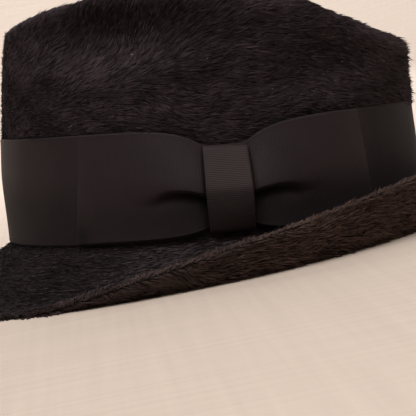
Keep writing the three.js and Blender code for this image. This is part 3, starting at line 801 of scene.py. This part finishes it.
def nap_piece(name, grid, normals, weight, count, rest, nap, comb, stand, shade_at, material,
              grow=1.0, outer=1, loose=(0.12, 3, 14), lowest=None, wild=1.0):
    """One stretch of nap. comb gives the flow's turn in degrees from round the hat towards up,
    stand the lift in degrees, shade_at the shade, each from places and their azimuths, and to
    each come smooth ripples, a part that a whole tuft shares and a random draw. grow scales the
    locks' length, and outer is -1 on the felt's inner face. loose is the share of thin locks
    that stand away, and by how many degrees, from least to most. lowest gives the height under
    which none grow, from azimuths. wild scales the random turns."""
    rng = np.random.default_rng([nap.seed, len(name), count])
    place, normal, around, row, column = scatter(grid, normals, weight, count, rng)
    azimuth = column * 360 / grid.shape[1]
    if lowest is not None:
        grown = place[:, 2] > lowest(azimuth)
        place, normal, around, row, column, azimuth = (
            a[grown] for a in (place, normal, around, row, column, azimuth))
        count = len(place)
    to_round, to_down, first, second = tufts(grid, row, column, nap.tuft_size * (0.6 + 0.4 * grow))
    turn = 13 * ripple(place, 22 * MM, 11) + 7 * ripple(place, 9 * MM, 12) + 12 * (first - 0.5)
    turn = (comb(place, azimuth) + wild * (turn + rng.normal(0, 4, count))) * DEGREE
    up = unit(np.cross(normal, around))
    flow = around * np.cos(turn)[:, None] + up * np.sin(turn)[:, None]
    pull = around * to_round[:, None] - up * (to_down * outer)[:, None]
    pull = nap.tuft_pull * (pull - flow * np.sum(pull * flow, -1, keepdims=True))
    length = nap.lock_length * grow * np.exp(rng.normal(0, 0.25, count))
    width = nap.lock_width * np.exp(rng.normal(0, 0.25, count))
    share, least, most = loose
    stray = rng.uniform(size=count) < share
    lift = stand(place, azimuth) + 6 * (second - 0.5) + rng.normal(0, 2.5, count)
    lift = np.clip(lift + stray * rng.uniform(least, most, count), 1, 75) * DEGREE
    combed = np.stack([azimuth * DEGREE * 25 * MM, np.hypot(*place.T[:2]), place[:, 2]], -1)
    shade = 0.5 + 0.13 * ripple(place, 10 * MM, 13) + 0.15 * ripple(place, 28 * MM, 14)
    shade = shade + 0.24 * (first + second - 1) + 0.12 * ripple(combed, 2.4 * MM, 15)
    glint = 0.45 * (rng.uniform(size=count) < 0.1)
    shade = np.clip(shade * shade_at(place, azimuth) + rng.normal(0, 0.1, count) + glint, 0.02, 1.3)
    length, width = length * np.where(stray, 0.75, 1), width * np.where(stray, 0.45, 1)
    piece = locks(name, place, normal, flow, length, width, lift, pull, shade, rest, rng)
    finished(piece, material, "fur_felt")


def cell_weight(columns, leg_weights):
    """A weight for each cell of the fine felt grid from one weight per leg."""
    legs = np.concatenate([[leg_weights.get(leg, 0)] * len(shares) for leg, shares in FINE_ROWS])
    return np.repeat(legs[1:, None], columns, 1).astype(float)


def close_pole(piece):
    """Merges the points where a ring grid's first row meets."""
    work = bmesh.new()
    work.from_mesh(piece.data)
    bmesh.ops.remove_doubles(work, verts=work.verts, dist=0.001 * MM)
    work.to_mesh(piece.data)
    work.free()


class TRILBY_OT_felt(bpy.types.Operator):
    """Makes the felt body: crown and brim as one sheet, pressed flat where it rests"""

    bl_idname = "trilby.felt"
    bl_label = "Felt body"

    def execute(self, context):
        felt, colours = context.scene.trilby_felt, context.scene.trilby_colours
        rest = resting(felt)
        outside = felt_grid(felt, FINE_ROWS, felt.columns)
        underside = press(outside - square_to(outside) * felt.thickness, rest)
        piece = cloth_sheet("felt_shell", outside, underside, rest, True)
        close_pole(piece)
        finished(piece, felt_material(colours), "fur_felt", "felt_body")
        return {"FINISHED"}


class TRILBY_OT_nap(bpy.types.Operator):
    """Lays the nap over the crown, the brim, its underside and its cut edge"""

    bl_idname = "trilby.nap"
    bl_label = "Nap"

    def execute(self, context):
        scene = context.scene
        felt, ribbon, nap, colours = (
            scene.trilby_felt, scene.trilby_ribbon, scene.trilby_nap, scene.trilby_colours)
        grid = felt_grid(felt, FINE_ROWS, felt.columns)
        above = nap_material("Fur felt nap", colours.nap_root, colours.nap_tip, colours.nap_tip)
        # A lighter, warmer copy of the nap's material: painted bounce light under the brim and on its edge
        bounce_lit_nap = nap_material(
            "Fur felt nap, underside, painted bounce light", colours.nap_under_root, colours.nap_under, colours.nap_under_rear)
        self.lay_crown(felt, ribbon, nap, grid, above)
        self.lay_brim(felt, ribbon, nap, grid, above, bounce_lit_nap)
        return {"FINISHED"}

    def lay_crown(self, felt, ribbon, nap, grid, above):
        """The nap of the wall, left and right, from the band up, and of the top. By the band it
        turns down by 12 degrees and a painted shadow darkens it by 60%, and it stands more at the back."""
        rest, normals, columns = resting(felt), square_to(grid), felt.columns
        azimuth = (np.arange(columns) + 0.5) * 360 / columns
        left = (azimuth < 180)[None, :]

        def band_top(around):
            return top_edge(ribbon, arc_from_knot(felt, around))

        def over_band(place, around):
            return np.maximum(0, place[:, 2] - band_top(around))

        def comb(place, around):
            turn = fading_sum(COMBED, "turn", around, place[:, 2])
            return turn - 12 * np.exp(-over_band(place, around) / (2.5 * MM))

        def stand(place, around):
            back = np.clip((around - 120) / 60, 0, 1) * np.clip((240 - around) / 60, 0, 1)
            return 10 + 12 * back - 5 * bell(turn_from(0, around) / 35) + 5 * ripple(place, 20 * MM, 21)

        # Painted sheen and painted shade from the table, and a painted shadow just above the band
        def shade(place, around):
            gain = 1 + fading_sum(PAINTED_SHEEN_AND_SHADE, "gain", around, place[:, 2])
            return gain * (1 - 0.6 * np.exp(-over_band(place, around) / (0.9 * MM)))

        wall = cell_weight(columns, {"wall": 1, "corner": 1})
        wall *= grid[:-1, :, 2] > band_top(azimuth)[None, :] - 0.6 * MM
        for name, side in (("nap_crown_left", left), ("nap_crown_right", ~left)):
            nap_piece(name, grid, normals, wall * side, nap.crown_locks, rest, nap,
                      comb, stand, shade, above, lowest=lambda around: band_top(around) - 0.4 * MM)
        nap_piece("nap_crown_top", grid, normals, cell_weight(columns, {"top": 1}), nap.top_locks, rest, nap,
                  lambda p, a: 10 * ripple(p, 50 * MM, 22), lambda p, a: 9 + 3 * ripple(p, 20 * MM, 23),
                  lambda p, a: 1, above, 0.8)

    def lay_brim(self, felt, ribbon, nap, grid, above, bounce_lit_nap):
        """The nap of the brim's top, with painted shade that darkens it in front, of its underside, in
        colours of painted bounce light, with a curled fringe at 62 degrees to each side and along its
        lowest line, and of its cut edge."""
        rest, normals, columns = resting(felt), square_to(grid), felt.columns
        azimuth = (np.arange(columns) + 0.5) * 360 / columns
        below = press(grid - normals * felt.thickness, rest)
        belly = below[..., 2].min(0)

        # Painted shade: the brim's top drawn darker in front
        def shade(place, around):
            return 0.32 + 0.6 * ease((np.abs(turn_from(0, around)) - 40) / 40)

        def low(place, around):
            return bell((place[:, 2] - np.interp(around, azimuth, belly, period=360)) / (1.6 * MM))

        def under_comb(place, around):
            fringe = bell((around - 62) / 22) + bell((around - 298) / 22)
            curl = np.clip(0.5 + ripple(place, 9 * MM, 30), 0, 1) * (45 * fringe + 30 * low(place, around))
            return 4 + 16 * ripple(place, 30 * MM, 26) - curl

        def under_stand(place, around):
            return 22 + 9 * ripple(place, 14 * MM, 27) + 24 * low(place, around)

        top = cell_weight(columns, {"break": 1.6, "slope": 1, "roll": 1, "rim": 1})
        foot = gather(ribbon, arc_from_knot(felt, azimuth), "foot")
        top += cell_weight(columns, {"wall": 2.2}) * (grid[1:, :, 2] < foot[None, :] + 0.6 * MM)
        nap_piece("nap_brim_top", grid, normals, top, nap.brim_locks, rest, nap,
                  lambda p, a: -6 + 8 * ripple(p, 40 * MM, 24), lambda p, a: 10 + 4 * ripple(p, 20 * MM, 25),
                  shade, above, 0.95, wild=0.6)
        under = cell_weight(columns, {"slope": 0.5, "roll": 1, "rim": 1.6})
        # Painted bounce light: the underside's locks are drawn 1.2 times as light
        nap_piece("nap_brim_underside", below, -normals, under, nap.underside_locks, rest, nap,
                  under_comb, under_stand, lambda p, a: 1.2, bounce_lit_nap, 0.9, -1, (0.18, 6, 34))
        edge = np.stack([grid[-1], below[-1]])
        outward = unit(np.cross(edge[1] - edge[0], np.roll(edge[0], -1, 0) - np.roll(edge[0], 1, 0)))
        nap_piece("nap_brim_edge", edge, np.stack([outward, outward]), np.ones((1, columns)),
                  nap.edge_locks, rest, nap, lambda p, a: 10 + 30 * ripple(p, 6 * MM, 28),
                  lambda p, a: 36 + 14 * ripple(p, 7 * MM, 29), lambda p, a: 0.86, bounce_lit_nap, 0.4, wild=2.6)


def azimuth_at(felt, distance):
    """Azimuth of a place on the ribbon: 90 degrees plus distance over half the crown's length."""
    return 90 + distance / (felt.crown_length / 2) / DEGREE


def arc_from_knot(felt, azimuth):
    """Distance along the ribbon from the knot's middle, the shorter way round."""
    return np.abs(turn_from(90, azimuth)) * DEGREE * felt.crown_length / 2


def beside_knot(ribbon, distance):
    """Distance from the knot's side, or 0 under the knot."""
    return np.maximum(0, np.abs(distance) - ribbon.knot_width / 2)


def gather(ribbon, distance, end):
    """How far the knot gathers the top or the foot in: the depth under the knot, and beside it
    the depth times exp(-distance from its side / spread)."""
    depth, spread = getattr(ribbon, f"gather_{end}"), getattr(ribbon, f"gather_{end}_spread")
    return depth * np.exp(-beside_knot(ribbon, distance) / spread)


def top_edge(ribbon, distance):
    """Height of the ribbon's gathered top."""
    return ribbon.band_height - gather(ribbon, distance, "top")


def ribbon_height(ribbon, distance, foot, share):
    """A height between the ribbon's gathered top, share 0, and its gathered foot, share 1."""
    top, low = top_edge(ribbon, distance), foot + gather(ribbon, distance, "foot")
    return top + (low - top) * share


def selvedge_shares(count, height):
    """Rows across a ribbon: close together over the woven edges, 2.2 mm wide, then even."""
    edge, plain = np.array([0, 0.25, 0.6, 1.1]) * MM / height, 2.2 * MM / height
    return np.concatenate([edge, np.linspace(plain, 1 - plain, count), 1 - edge[::-1]])


def selvedge(share, height):
    """Lift of the woven edge: a bead 0.1 mm high, 0.55 mm in, less a rounding of 0.3 mm that
    fades inwards."""
    inward = np.minimum(share, 1 - share) * height
    bead = 0.1 * MM * bell((inward - 0.55 * MM) / (0.4 * MM))
    return bead - 0.3 * MM * np.exp(-inward / (0.12 * MM))


class TRILBY_OT_band(bpy.types.Operator):
    """Makes the grosgrain band round the crown"""

    bl_idname = "trilby.band"
    bl_label = "Hat band"

    def execute(self, context):
        scene = context.scene
        felt, ribbon, colours = scene.trilby_felt, scene.trilby_ribbon, scene.trilby_colours
        columns = 480
        azimuth = 90 - 180 + np.arange(columns)[None, :] * 360 / columns
        distance = arc_from_knot(felt, azimuth)
        share = selvedge_shares(12, ribbon.band_height)[:, None]
        height = ribbon_height(ribbon, distance, 0, share)
        proud = self.stand_off(felt, ribbon, azimuth, distance, height)
        proud = proud + selvedge(share, ribbon.band_height)
        front = beside_wall(felt, azimuth, height, proud)
        back = beside_wall(felt, azimuth, height, ribbon.seat + 0 * height)
        along = np.arange(columns + 1)[None, :] * 2 * math.pi / columns * felt.crown_length / 2
        piece = cloth_sheet("band_ribbon", front, back, resting(felt), True,
                            (along, share * ribbon.band_height), self.band_painted_shade(azimuth, distance, height))
        finished(piece, shared_grosgrain(ribbon, colours), "grosgrain", "hat_band")
        return {"FINISHED"}

    def stand_off(self, felt, ribbon, azimuth, distance, height):
        """How far the ribbon stands off the wall: its seat and thickness, a wave of 0.18 mm, a
        swell of 0.6 mm beyond the bow, and a faint dent 17 mm up in front."""
        off, up = (azimuth - 32) / 7, (height - 17 * MM) / (2.2 * MM)
        wave = 0.18 * MM * ripple(beside_wall(felt, azimuth, height, 0), 30 * MM, 31)
        wave = wave - 0.9 * MM * np.exp(-(off ** 2 + up ** 2))
        belly = ease(height / (28 * MM)) * ease((ribbon.band_height - height) / (20 * MM))
        wave = wave + 0.6 * MM * belly * ease((distance - 71 * MM) / (12 * MM))
        return ribbon.seat + ribbon.band_thickness + wave

    def band_painted_shade(self, azimuth, distance, height):
        """Painted shade beyond the bow: low down in front and all over behind, fading out
        from 130 mm."""
        rear = (azimuth > 90) & (azimuth < 270)
        lower = 0.36 * ease((36 * MM - height) / (20 * MM))
        painted_shade = np.where(rear, 0.36, lower) * ease((distance - 60 * MM) / (20 * MM))
        return painted_shade * (1 - ease((distance - 130 * MM) / (60 * MM)))


def crease_line(ribbon, beside, towards):
    """Height of a loop's crease: an arch, highest at its reach from the knot's side."""
    side = "front" if towards < 0 else "rear"
    top, drop, reach = (getattr(ribbon, f"crease_{key}_{side}") for key in ("height", "drop", "reach"))
    return top - drop * (np.minimum(beside, 2 * reach) / reach - 1) ** 2


def fold_painted_shade(ribbon, length, distance, height, towards):
    """Painted shade on a loop's outer ply, from 0 to 1: under the overhanging lip, less so in the
    slack below it and against the knot, a little towards its foot, and in the dent at the foot of the front
    fold."""
    beside = beside_knot(ribbon, distance)
    below = crease_line(ribbon, beside, towards) - height
    spindle = ease(1.25 - beside / (23 * MM))
    thick = np.where(below > 0, (0.9 + 2.3 * spindle) * MM, 0.35 * MM)
    slack = np.clip(below / (2 * MM), 0, 1) * bell(beside / (24 * MM))
    painted_shade = 0.95 * spindle * bell(below / thick) + 0.3 * slack * bell(below / (13 * MM))
    painted_shade = painted_shade + 0.5 * slack * np.exp(-beside / (1.6 * MM)) + 0.16 * ease((20 * MM - height) / (8 * MM))
    if towards < 0:
        off, up = (length - 3 * MM - distance) / (3 * MM), (height - 4 * MM) / (4.5 * MM)
        painted_shade = painted_shade + 0.5 * np.exp(-(off ** 2 + up ** 2))
    return np.clip(painted_shade, 0, 0.97)


def loop_fold(ribbon):
    """How proud a loop's inner ply lies and the radius of its fold, both at the middle of the
    ply."""
    inner = ribbon.seat + ribbon.band_thickness + ribbon.seat + ribbon.bow_ply / 2
    return inner, (ribbon.bow_ply + ribbon.fold_hollow) / 2


def outer_ply(ribbon, length, distance, height, towards):
    """How proud the loop's outer ply stands. By the knot it leans out from its gathered top down
    to an overhanging lip, dives in under that to a level crease, and swells again to its foot.
    That form fades away from the knot into an even swell, which dies out at the fold."""
    inner, fold_radius = loop_fold(ribbon)
    beside = beside_knot(ribbon, distance)
    share = np.minimum(1, beside / (length - fold_radius - ribbon.knot_width / 2))
    near = bell(beside / (25 * MM))
    crease = crease_line(ribbon, beside, towards)
    up = height - crease
    over = np.clip(up / (top_edge(ribbon, distance) - crease), 0, 1)
    under = np.clip(-up / crease, 0, 1)
    upper = 1.3 - 0.95 * over ** 1.3
    lower = 0.6 - 0.6 * bell(under / 0.2) - 0.25 * under
    step = 1 / (1 + np.exp(-up / (0.28 * MM + 5 * MM * (1 - near) ** 2)))
    pinched = lower + (upper - lower) * step
    even = 0.12 + 0.88 * ease(height / (28 * MM)) - 0.25 * ease((height - 26 * MM) / (24 * MM))
    swell = pinched * near + even * (1 - near)
    arch = np.sin(math.pi * share ** 0.62)
    lip = 0.75 * np.exp(-beside / (10 * MM)) * bell(np.maximum(0, up) / (13 * MM)) * step
    hollow = ribbon.seat + (ribbon.fold_hollow - ribbon.seat) * share
    return inner + ribbon.bow_ply + hollow + ribbon.bow_puff * (swell * arch + lip)


class TRILBY_OT_bow(bpy.types.Operator):
    """Makes the two loops of the bow, each a ribbon folded back on itself"""

    bl_idname = "trilby.bow"
    bl_label = "Bow loops"

    def execute(self, context):
        scene = context.scene
        felt, ribbon, colours = scene.trilby_felt, scene.trilby_ribbon, scene.trilby_colours
        for name, length, towards, node in (("bow_front", ribbon.front_loop, -1, "bow_front_loop"),
                                            ("bow_rear", ribbon.rear_loop, 1, "bow_rear_loop")):
            piece, cut = self.loop(felt, ribbon, name, length, towards)
            finished(piece, shared_grosgrain(ribbon, colours), "grosgrain", node)
        return {"FINISHED"}

    def loop(self, felt, ribbon, name, length, towards):
        """The ribbon's middle line runs out along the inner ply, round the fold and back along
        the outer ply. Each face lies half a ply to one side of it. Returns the piece and the
        length of its ribbon."""
        inner, radius = loop_fold(ribbon)
        straight = length - radius
        out = np.linspace(ribbon.seat, straight, 14)
        turn = np.linspace(0, math.pi, 9)[1:-1]
        back = straight - (straight - ribbon.seat) * np.linspace(0, 1, 66) ** 0.8
        distance = np.concatenate([out, straight + radius * np.sin(turn), back])[None, :]
        share = selvedge_shares(60, ribbon.bow_height)[:, None]
        height = ribbon_height(ribbon, distance, ribbon.band_height - ribbon.bow_height, share)
        start = np.concatenate([np.full(len(out), inner), inner + radius * (1 - np.cos(turn))])[None, :]
        rising = outer_ply(ribbon, length, distance[:, -len(back):], height[:, -len(back):], towards)
        proud = np.concatenate([np.repeat(start, len(share), 0), rising], 1)
        along_x, along_out = np.gradient(distance[0])[None, :] * towards, np.gradient(proud, axis=1)
        size = np.hypot(along_x, along_out)
        faces = []
        for side in (1, -1):
            woven = selvedge(share, ribbon.bow_height) if side == -towards else 0
            offset = side * (ribbon.bow_ply / 2 + woven)
            flared = towards * distance * (1 + ribbon.loop_flare * (share - 0.5))
            azimuth = azimuth_at(felt, flared - along_out / size * offset)
            faces.append(beside_wall(felt, azimuth, height, proud + along_x / size * offset))
        along = np.concatenate([[0], np.cumsum(np.hypot(np.diff(distance[0]), np.diff(proud.mean(0))))])
        piece = cloth_sheet(name, *faces, resting(felt), uv=(along[None, :], share * ribbon.bow_height),
                            painted_shade=fold_painted_shade(ribbon, length, distance, height, towards))
        return piece, run(faces[0][len(share) // 2])


class TRILBY_OT_knot(bpy.types.Operator):
    """Makes the knot: a strip of ribbon over the pinched bow, tucked in above and below"""

    bl_idname = "trilby.knot"
    bl_label = "Bow knot"

    def execute(self, context):
        scene = context.scene
        felt, ribbon, colours = scene.trilby_felt, scene.trilby_ribbon, scene.trilby_colours
        proud, height, rise = self.profile(ribbon)
        along_out, along_up = np.gradient(proud), np.gradient(height)
        size = np.hypot(along_out, along_up)
        across = np.linspace(-0.5, 0.5, 29)[None, :]
        azimuth = azimuth_at(felt, across * ribbon.knot_width)
        rounded, skew = -0.35 * MM * (2 * np.abs(across)) ** 6, 1.2 * MM
        faces = []
        for side in (1, -1):
            offset = side * ribbon.knot_thickness / 2
            up = (height + along_out / size * offset)[:, None] - skew * across * ease(rise)[:, None]
            stand = (proud - along_up / size * offset)[:, None] + rounded * (side > 0)
            faces.append(beside_wall(felt, azimuth, up + 0 * across, stand))
        along = np.concatenate([[0], np.cumsum(np.hypot(np.diff(proud), np.diff(height)))])
        # Painted shade over its lower half, where it turns under, but not at its very foot
        painted_shade = (0.47 * ease((0.57 - rise) / 0.15) * ease(rise / 0.28))[:, None]
        piece = cloth_sheet("knot_strip", *faces, resting(felt),
                            uv=(along[:, None], across * ribbon.knot_width), painted_shade=painted_shade)
        # A lighter copy of the grosgrain: painted sheen on the knot
        grosgrain = grosgrain_material(
            "Grosgrain, knot, painted sheen", ribbon, colours.knot, colours.knot_light, colours.fold)
        finished(piece, grosgrain, "grosgrain", "bow_knot")
        return {"FINISHED"}

    def profile(self, ribbon):
        """The strip's middle line from its tucked top over the bow to its tucked foot, round two
        corners. It bows out most at 48% of its rise: below as a parabola, above as a hyperbola,
        straight at first and rounded at its highest. Returns how proud, how high and its rise."""
        tuck = ribbon.seat + ribbon.knot_thickness / 2
        out = 3 * ribbon.seat + ribbon.band_thickness + 2 * ribbon.bow_ply + tuck
        top = ribbon.band_height - ribbon.gather_top + tuck - 1.6 * MM
        foot = ribbon.gather_foot - ribbon.knot_drop
        corner = 1.2 * MM
        turn = np.linspace(0, math.pi / 2, 8)
        outward, upward = corner * (1 - np.sin(turn)), corner * (1 - np.cos(turn))
        proud = np.concatenate([[tuck], out - outward, np.full(60, out), out - outward[::-1], [tuck]])
        height = np.concatenate([[top], top - upward, np.linspace(top - corner, foot + corner, 62)[1:-1],
                                 foot + upward[::-1], [foot]])
        rise = (height - foot) / (top - foot)
        highest, rounding = 0.48, 0.17
        away = (rise - highest) / np.where(rise > highest, 1 - highest, highest)
        belly = np.where(rise > highest, 1 + rounding - np.hypot(away, rounding), 1 - away ** 2)
        return proud + ribbon.knot_belly * belly * np.clip((proud - tuck) / (out - tuck), 0, 1), height, rise


def grains(name, place, along, out, size, rng):
    """A mesh of small stretched octahedra: six corners at place +- size along three directions,
    which are along, out and the one square to both, with a random scale for each."""
    side = unit(np.cross(along, out))
    reach = size * rng.uniform(0.7, 1.3, (len(place), 1))
    axes = [along * reach * 2.2, side * reach * 0.5, out * reach * 0.35]
    corners = np.stack([place + sign * axis for axis in axes for sign in (1, -1)], 1)
    fan = np.array([[0, 2, 4], [2, 1, 4], [1, 3, 4], [3, 0, 4], [2, 0, 5], [1, 2, 5], [3, 1, 5], [0, 3, 5]])
    faces = (np.arange(len(place))[:, None, None] * 6 + fan).reshape(-1, 3)
    return new_mesh(name, corners.reshape(-1, 3), faces)


class TRILBY_OT_trim(bpy.types.Operator):
    """Makes the tack stitches on the ribbon's edge and a few specks of lint in the nap"""

    bl_idname = "trilby.trim"
    bl_label = "Stitches and lint"

    def execute(self, context):
        scene = context.scene
        felt, ribbon, colours = scene.trilby_felt, scene.trilby_ribbon, scene.trilby_colours
        rest, rng = resting(felt), np.random.default_rng(scene.trilby_nap.seed)
        tacked = np.array(STITCHES)
        distance = arc_from_knot(felt, tacked) / (1 - ribbon.loop_flare / 2)
        edge = ribbon_height(ribbon, distance, ribbon.band_height - ribbon.bow_height, 0)
        tied = outer_ply(ribbon, ribbon.front_loop, distance, edge, -1)
        azimuths, heights = np.array(LINT).T
        for name, azimuth, height, proud, size, colour, slot in (
                ("tack_stitches", tacked, edge + 0.1 * MM, tied + 0.5 * MM, 0.5 * MM, colours.thread,
                 "grosgrain"),
                ("lint_specks", azimuths, heights, 1.9 * MM, 0.16 * MM, colours.lint, "fur_felt")):
            place = beside_wall(felt, azimuth, height, proud)
            out = np.stack([*outline(felt, azimuth)[2:], 0 * azimuth], -1)
            place = place - out * dent_at(felt, place)[:, None]
            turn, up = rng.uniform(-0.4, 0.4, len(azimuth))[:, None], np.array((0, 0, 1))
            along = unit(np.cross(up, out) * np.cos(turn) + up * np.sin(turn))
            piece = grains(name, settle(place, rest), turn_back(along, rest), turn_back(out, rest), size, rng)
            finished(piece, plain_material(name.replace("_", " ").capitalize(), colour, 0.8), slot)
        return {"FINISHED"}


class TRILBY_OT_stage(bpy.types.Operator):
    """Makes the camera, the lights and a seamless floor and backdrop"""

    bl_idname = "trilby.stage"
    bl_label = "Stage"

    def execute(self, context):
        scene = context.scene
        rest = resting(scene.trilby_felt)
        self.camera(scene, rest)
        self.sweep(scene)
        self.lights(scene)
        return {"FINISHED"}

    def camera(self, scene, rest):
        """A long lens on the wearer's left, at the photograph's angle to the hat: bearing, pitch
        and roll are measured level with the crown's foot, and lean with the hat."""
        bearing, yaw, pitch, roll = (a * DEGREE for a in (-2.013, -2.245, -4.756, 5.576))
        middle_y, distance, height = -0.033958, 0.78, 0.070746
        focal_px, frame_px = 1593.288, 416
        heading = yaw + bearing
        level = math.cos(pitch)
        forward = np.array([-level * math.cos(heading), -level * math.sin(heading), math.sin(pitch)])
        right = unit(np.cross(forward, (0, 0, 1)))
        up = np.cross(right, forward)
        right, up = right * math.cos(roll) - up * math.sin(roll), right * math.sin(roll) + up * math.cos(roll)
        place = np.array([distance * math.cos(bearing), middle_y + distance * math.sin(bearing), height])
        data = bpy.data.cameras.new("Camera")
        data.sensor_width = 36
        data.lens = data.sensor_width * focal_px / frame_px
        camera = bpy.data.objects.new("Camera", data)
        axes = np.stack([turn_back(v, rest) for v in (right, up, -forward)], 1)
        matrix = np.eye(4)
        matrix[:3, :3] = axes
        matrix[:3, 3] = settle(place, rest)
        camera.matrix_world = Matrix(matrix.tolist())
        scene.collection.objects.link(camera)
        scene.camera = camera

    def sweep(self, scene):
        """Floor and backdrop in one sheet all round: a level disc of 3 m radius, then a quarter
        round of 1 m radius, then upright."""
        level, rounding, top, sides = 3.0, 1.0, 5.0, 96
        turn = np.linspace(0, math.pi / 2, 24)
        radius = np.concatenate([[0.001], level + rounding * np.sin(turn), [level + rounding]])[:, None]
        z = np.concatenate([[0.0], rounding * (1 - np.cos(turn)), [top]])[:, None]
        around = np.arange(sides) * 2 * math.pi / sides
        points = np.stack([radius * np.cos(around), radius * np.sin(around), z + 0 * around], -1)
        i, j = (a.ravel() for a in np.meshgrid(np.arange(len(radius) - 1), np.arange(sides), indexing="ij"))
        corners = ((i, j), (i + 1, j), (i + 1, j + 1), (i, j + 1))
        faces = np.stack([row * sides + column % sides for row, column in corners], 1)
        floor = new_mesh("floor", points.reshape(-1, 3), faces)
        floor.data.polygons.foreach_set("use_smooth", np.ones(len(faces), bool))
        floor.data.materials.append(linen_material(scene.trilby_colours))

    def lights(self, scene):
        """A soft light at each side of the camera, weak ones overhead and behind the hat, and one
        for each side of the backdrop."""
        for name, place, aim, size, watts, tint in LAMPS:
            data = bpy.data.lights.new(name, "AREA")
            data.size, data.energy, data.color = size, watts, tint
            lamp = bpy.data.objects.new(name, data)
            lamp.location = place
            lamp.rotation_mode = "QUATERNION"
            lamp.rotation_quaternion = (Vector(aim) - Vector(place)).to_track_quat("-Z", "Y")
            scene.collection.objects.link(lamp)
        world = bpy.data.worlds.new("Studio")
        world.use_nodes = True
        background = world.node_tree.nodes["Background"]
        background.inputs["Color"].default_value = (1.0, 0.97, 0.95, 1)
        background.inputs["Strength"].default_value = 0.1
        scene.world = world
        scene.view_settings.view_transform = "Standard"


class TRILBY_PT_panel(bpy.types.Panel):
    """Lists the makers and their settings"""

    bl_label = "Trilby"
    bl_idname = "TRILBY_PT_panel"
    bl_space_type = "VIEW_3D"
    bl_region_type = "UI"
    bl_category = "Trilby"

    def draw(self, context):
        for operator in OPERATORS:
            self.layout.operator(operator.bl_idname)
        for name in SETTINGS:
            group = getattr(context.scene, name)
            box = self.layout.box()
            for key in group.bl_rna.properties.keys():
                if key not in ("rna_type", "name"):
                    box.prop(group, key)


OPERATORS = (TRILBY_OT_stage, TRILBY_OT_felt, TRILBY_OT_band, TRILBY_OT_bow, TRILBY_OT_knot, TRILBY_OT_nap,
             TRILBY_OT_trim)
SETTINGS = {"trilby_felt": TrilbyFelt, "trilby_ribbon": TrilbyRibbon, "trilby_nap": TrilbyNap,
            "trilby_colours": TrilbyColours}


def register():
    """Registers the classes and puts the settings on the scene."""
    for kind in (*SETTINGS.values(), *OPERATORS, TRILBY_PT_panel):
        bpy.utils.register_class(kind)
    for name, kind in SETTINGS.items():
        setattr(bpy.types.Scene, name, bpy.props.PointerProperty(type=kind))


def unregister():
    """Takes the settings and the classes away again."""
    for name in SETTINGS:
        delattr(bpy.types.Scene, name)
    for kind in (TRILBY_PT_panel, *reversed(OPERATORS), *reversed(list(SETTINGS.values()))):
        bpy.utils.unregister_class(kind)


def main():
    """Makes the whole hat on its stage."""
    register()
    bpy.ops.trilby.stage()
    bpy.ops.trilby.felt()
    bpy.ops.trilby.band()
    bpy.ops.trilby.bow()
    bpy.ops.trilby.knot()
    bpy.ops.trilby.nap()
    bpy.ops.trilby.trim()


if __name__ == "__main__":
    main()
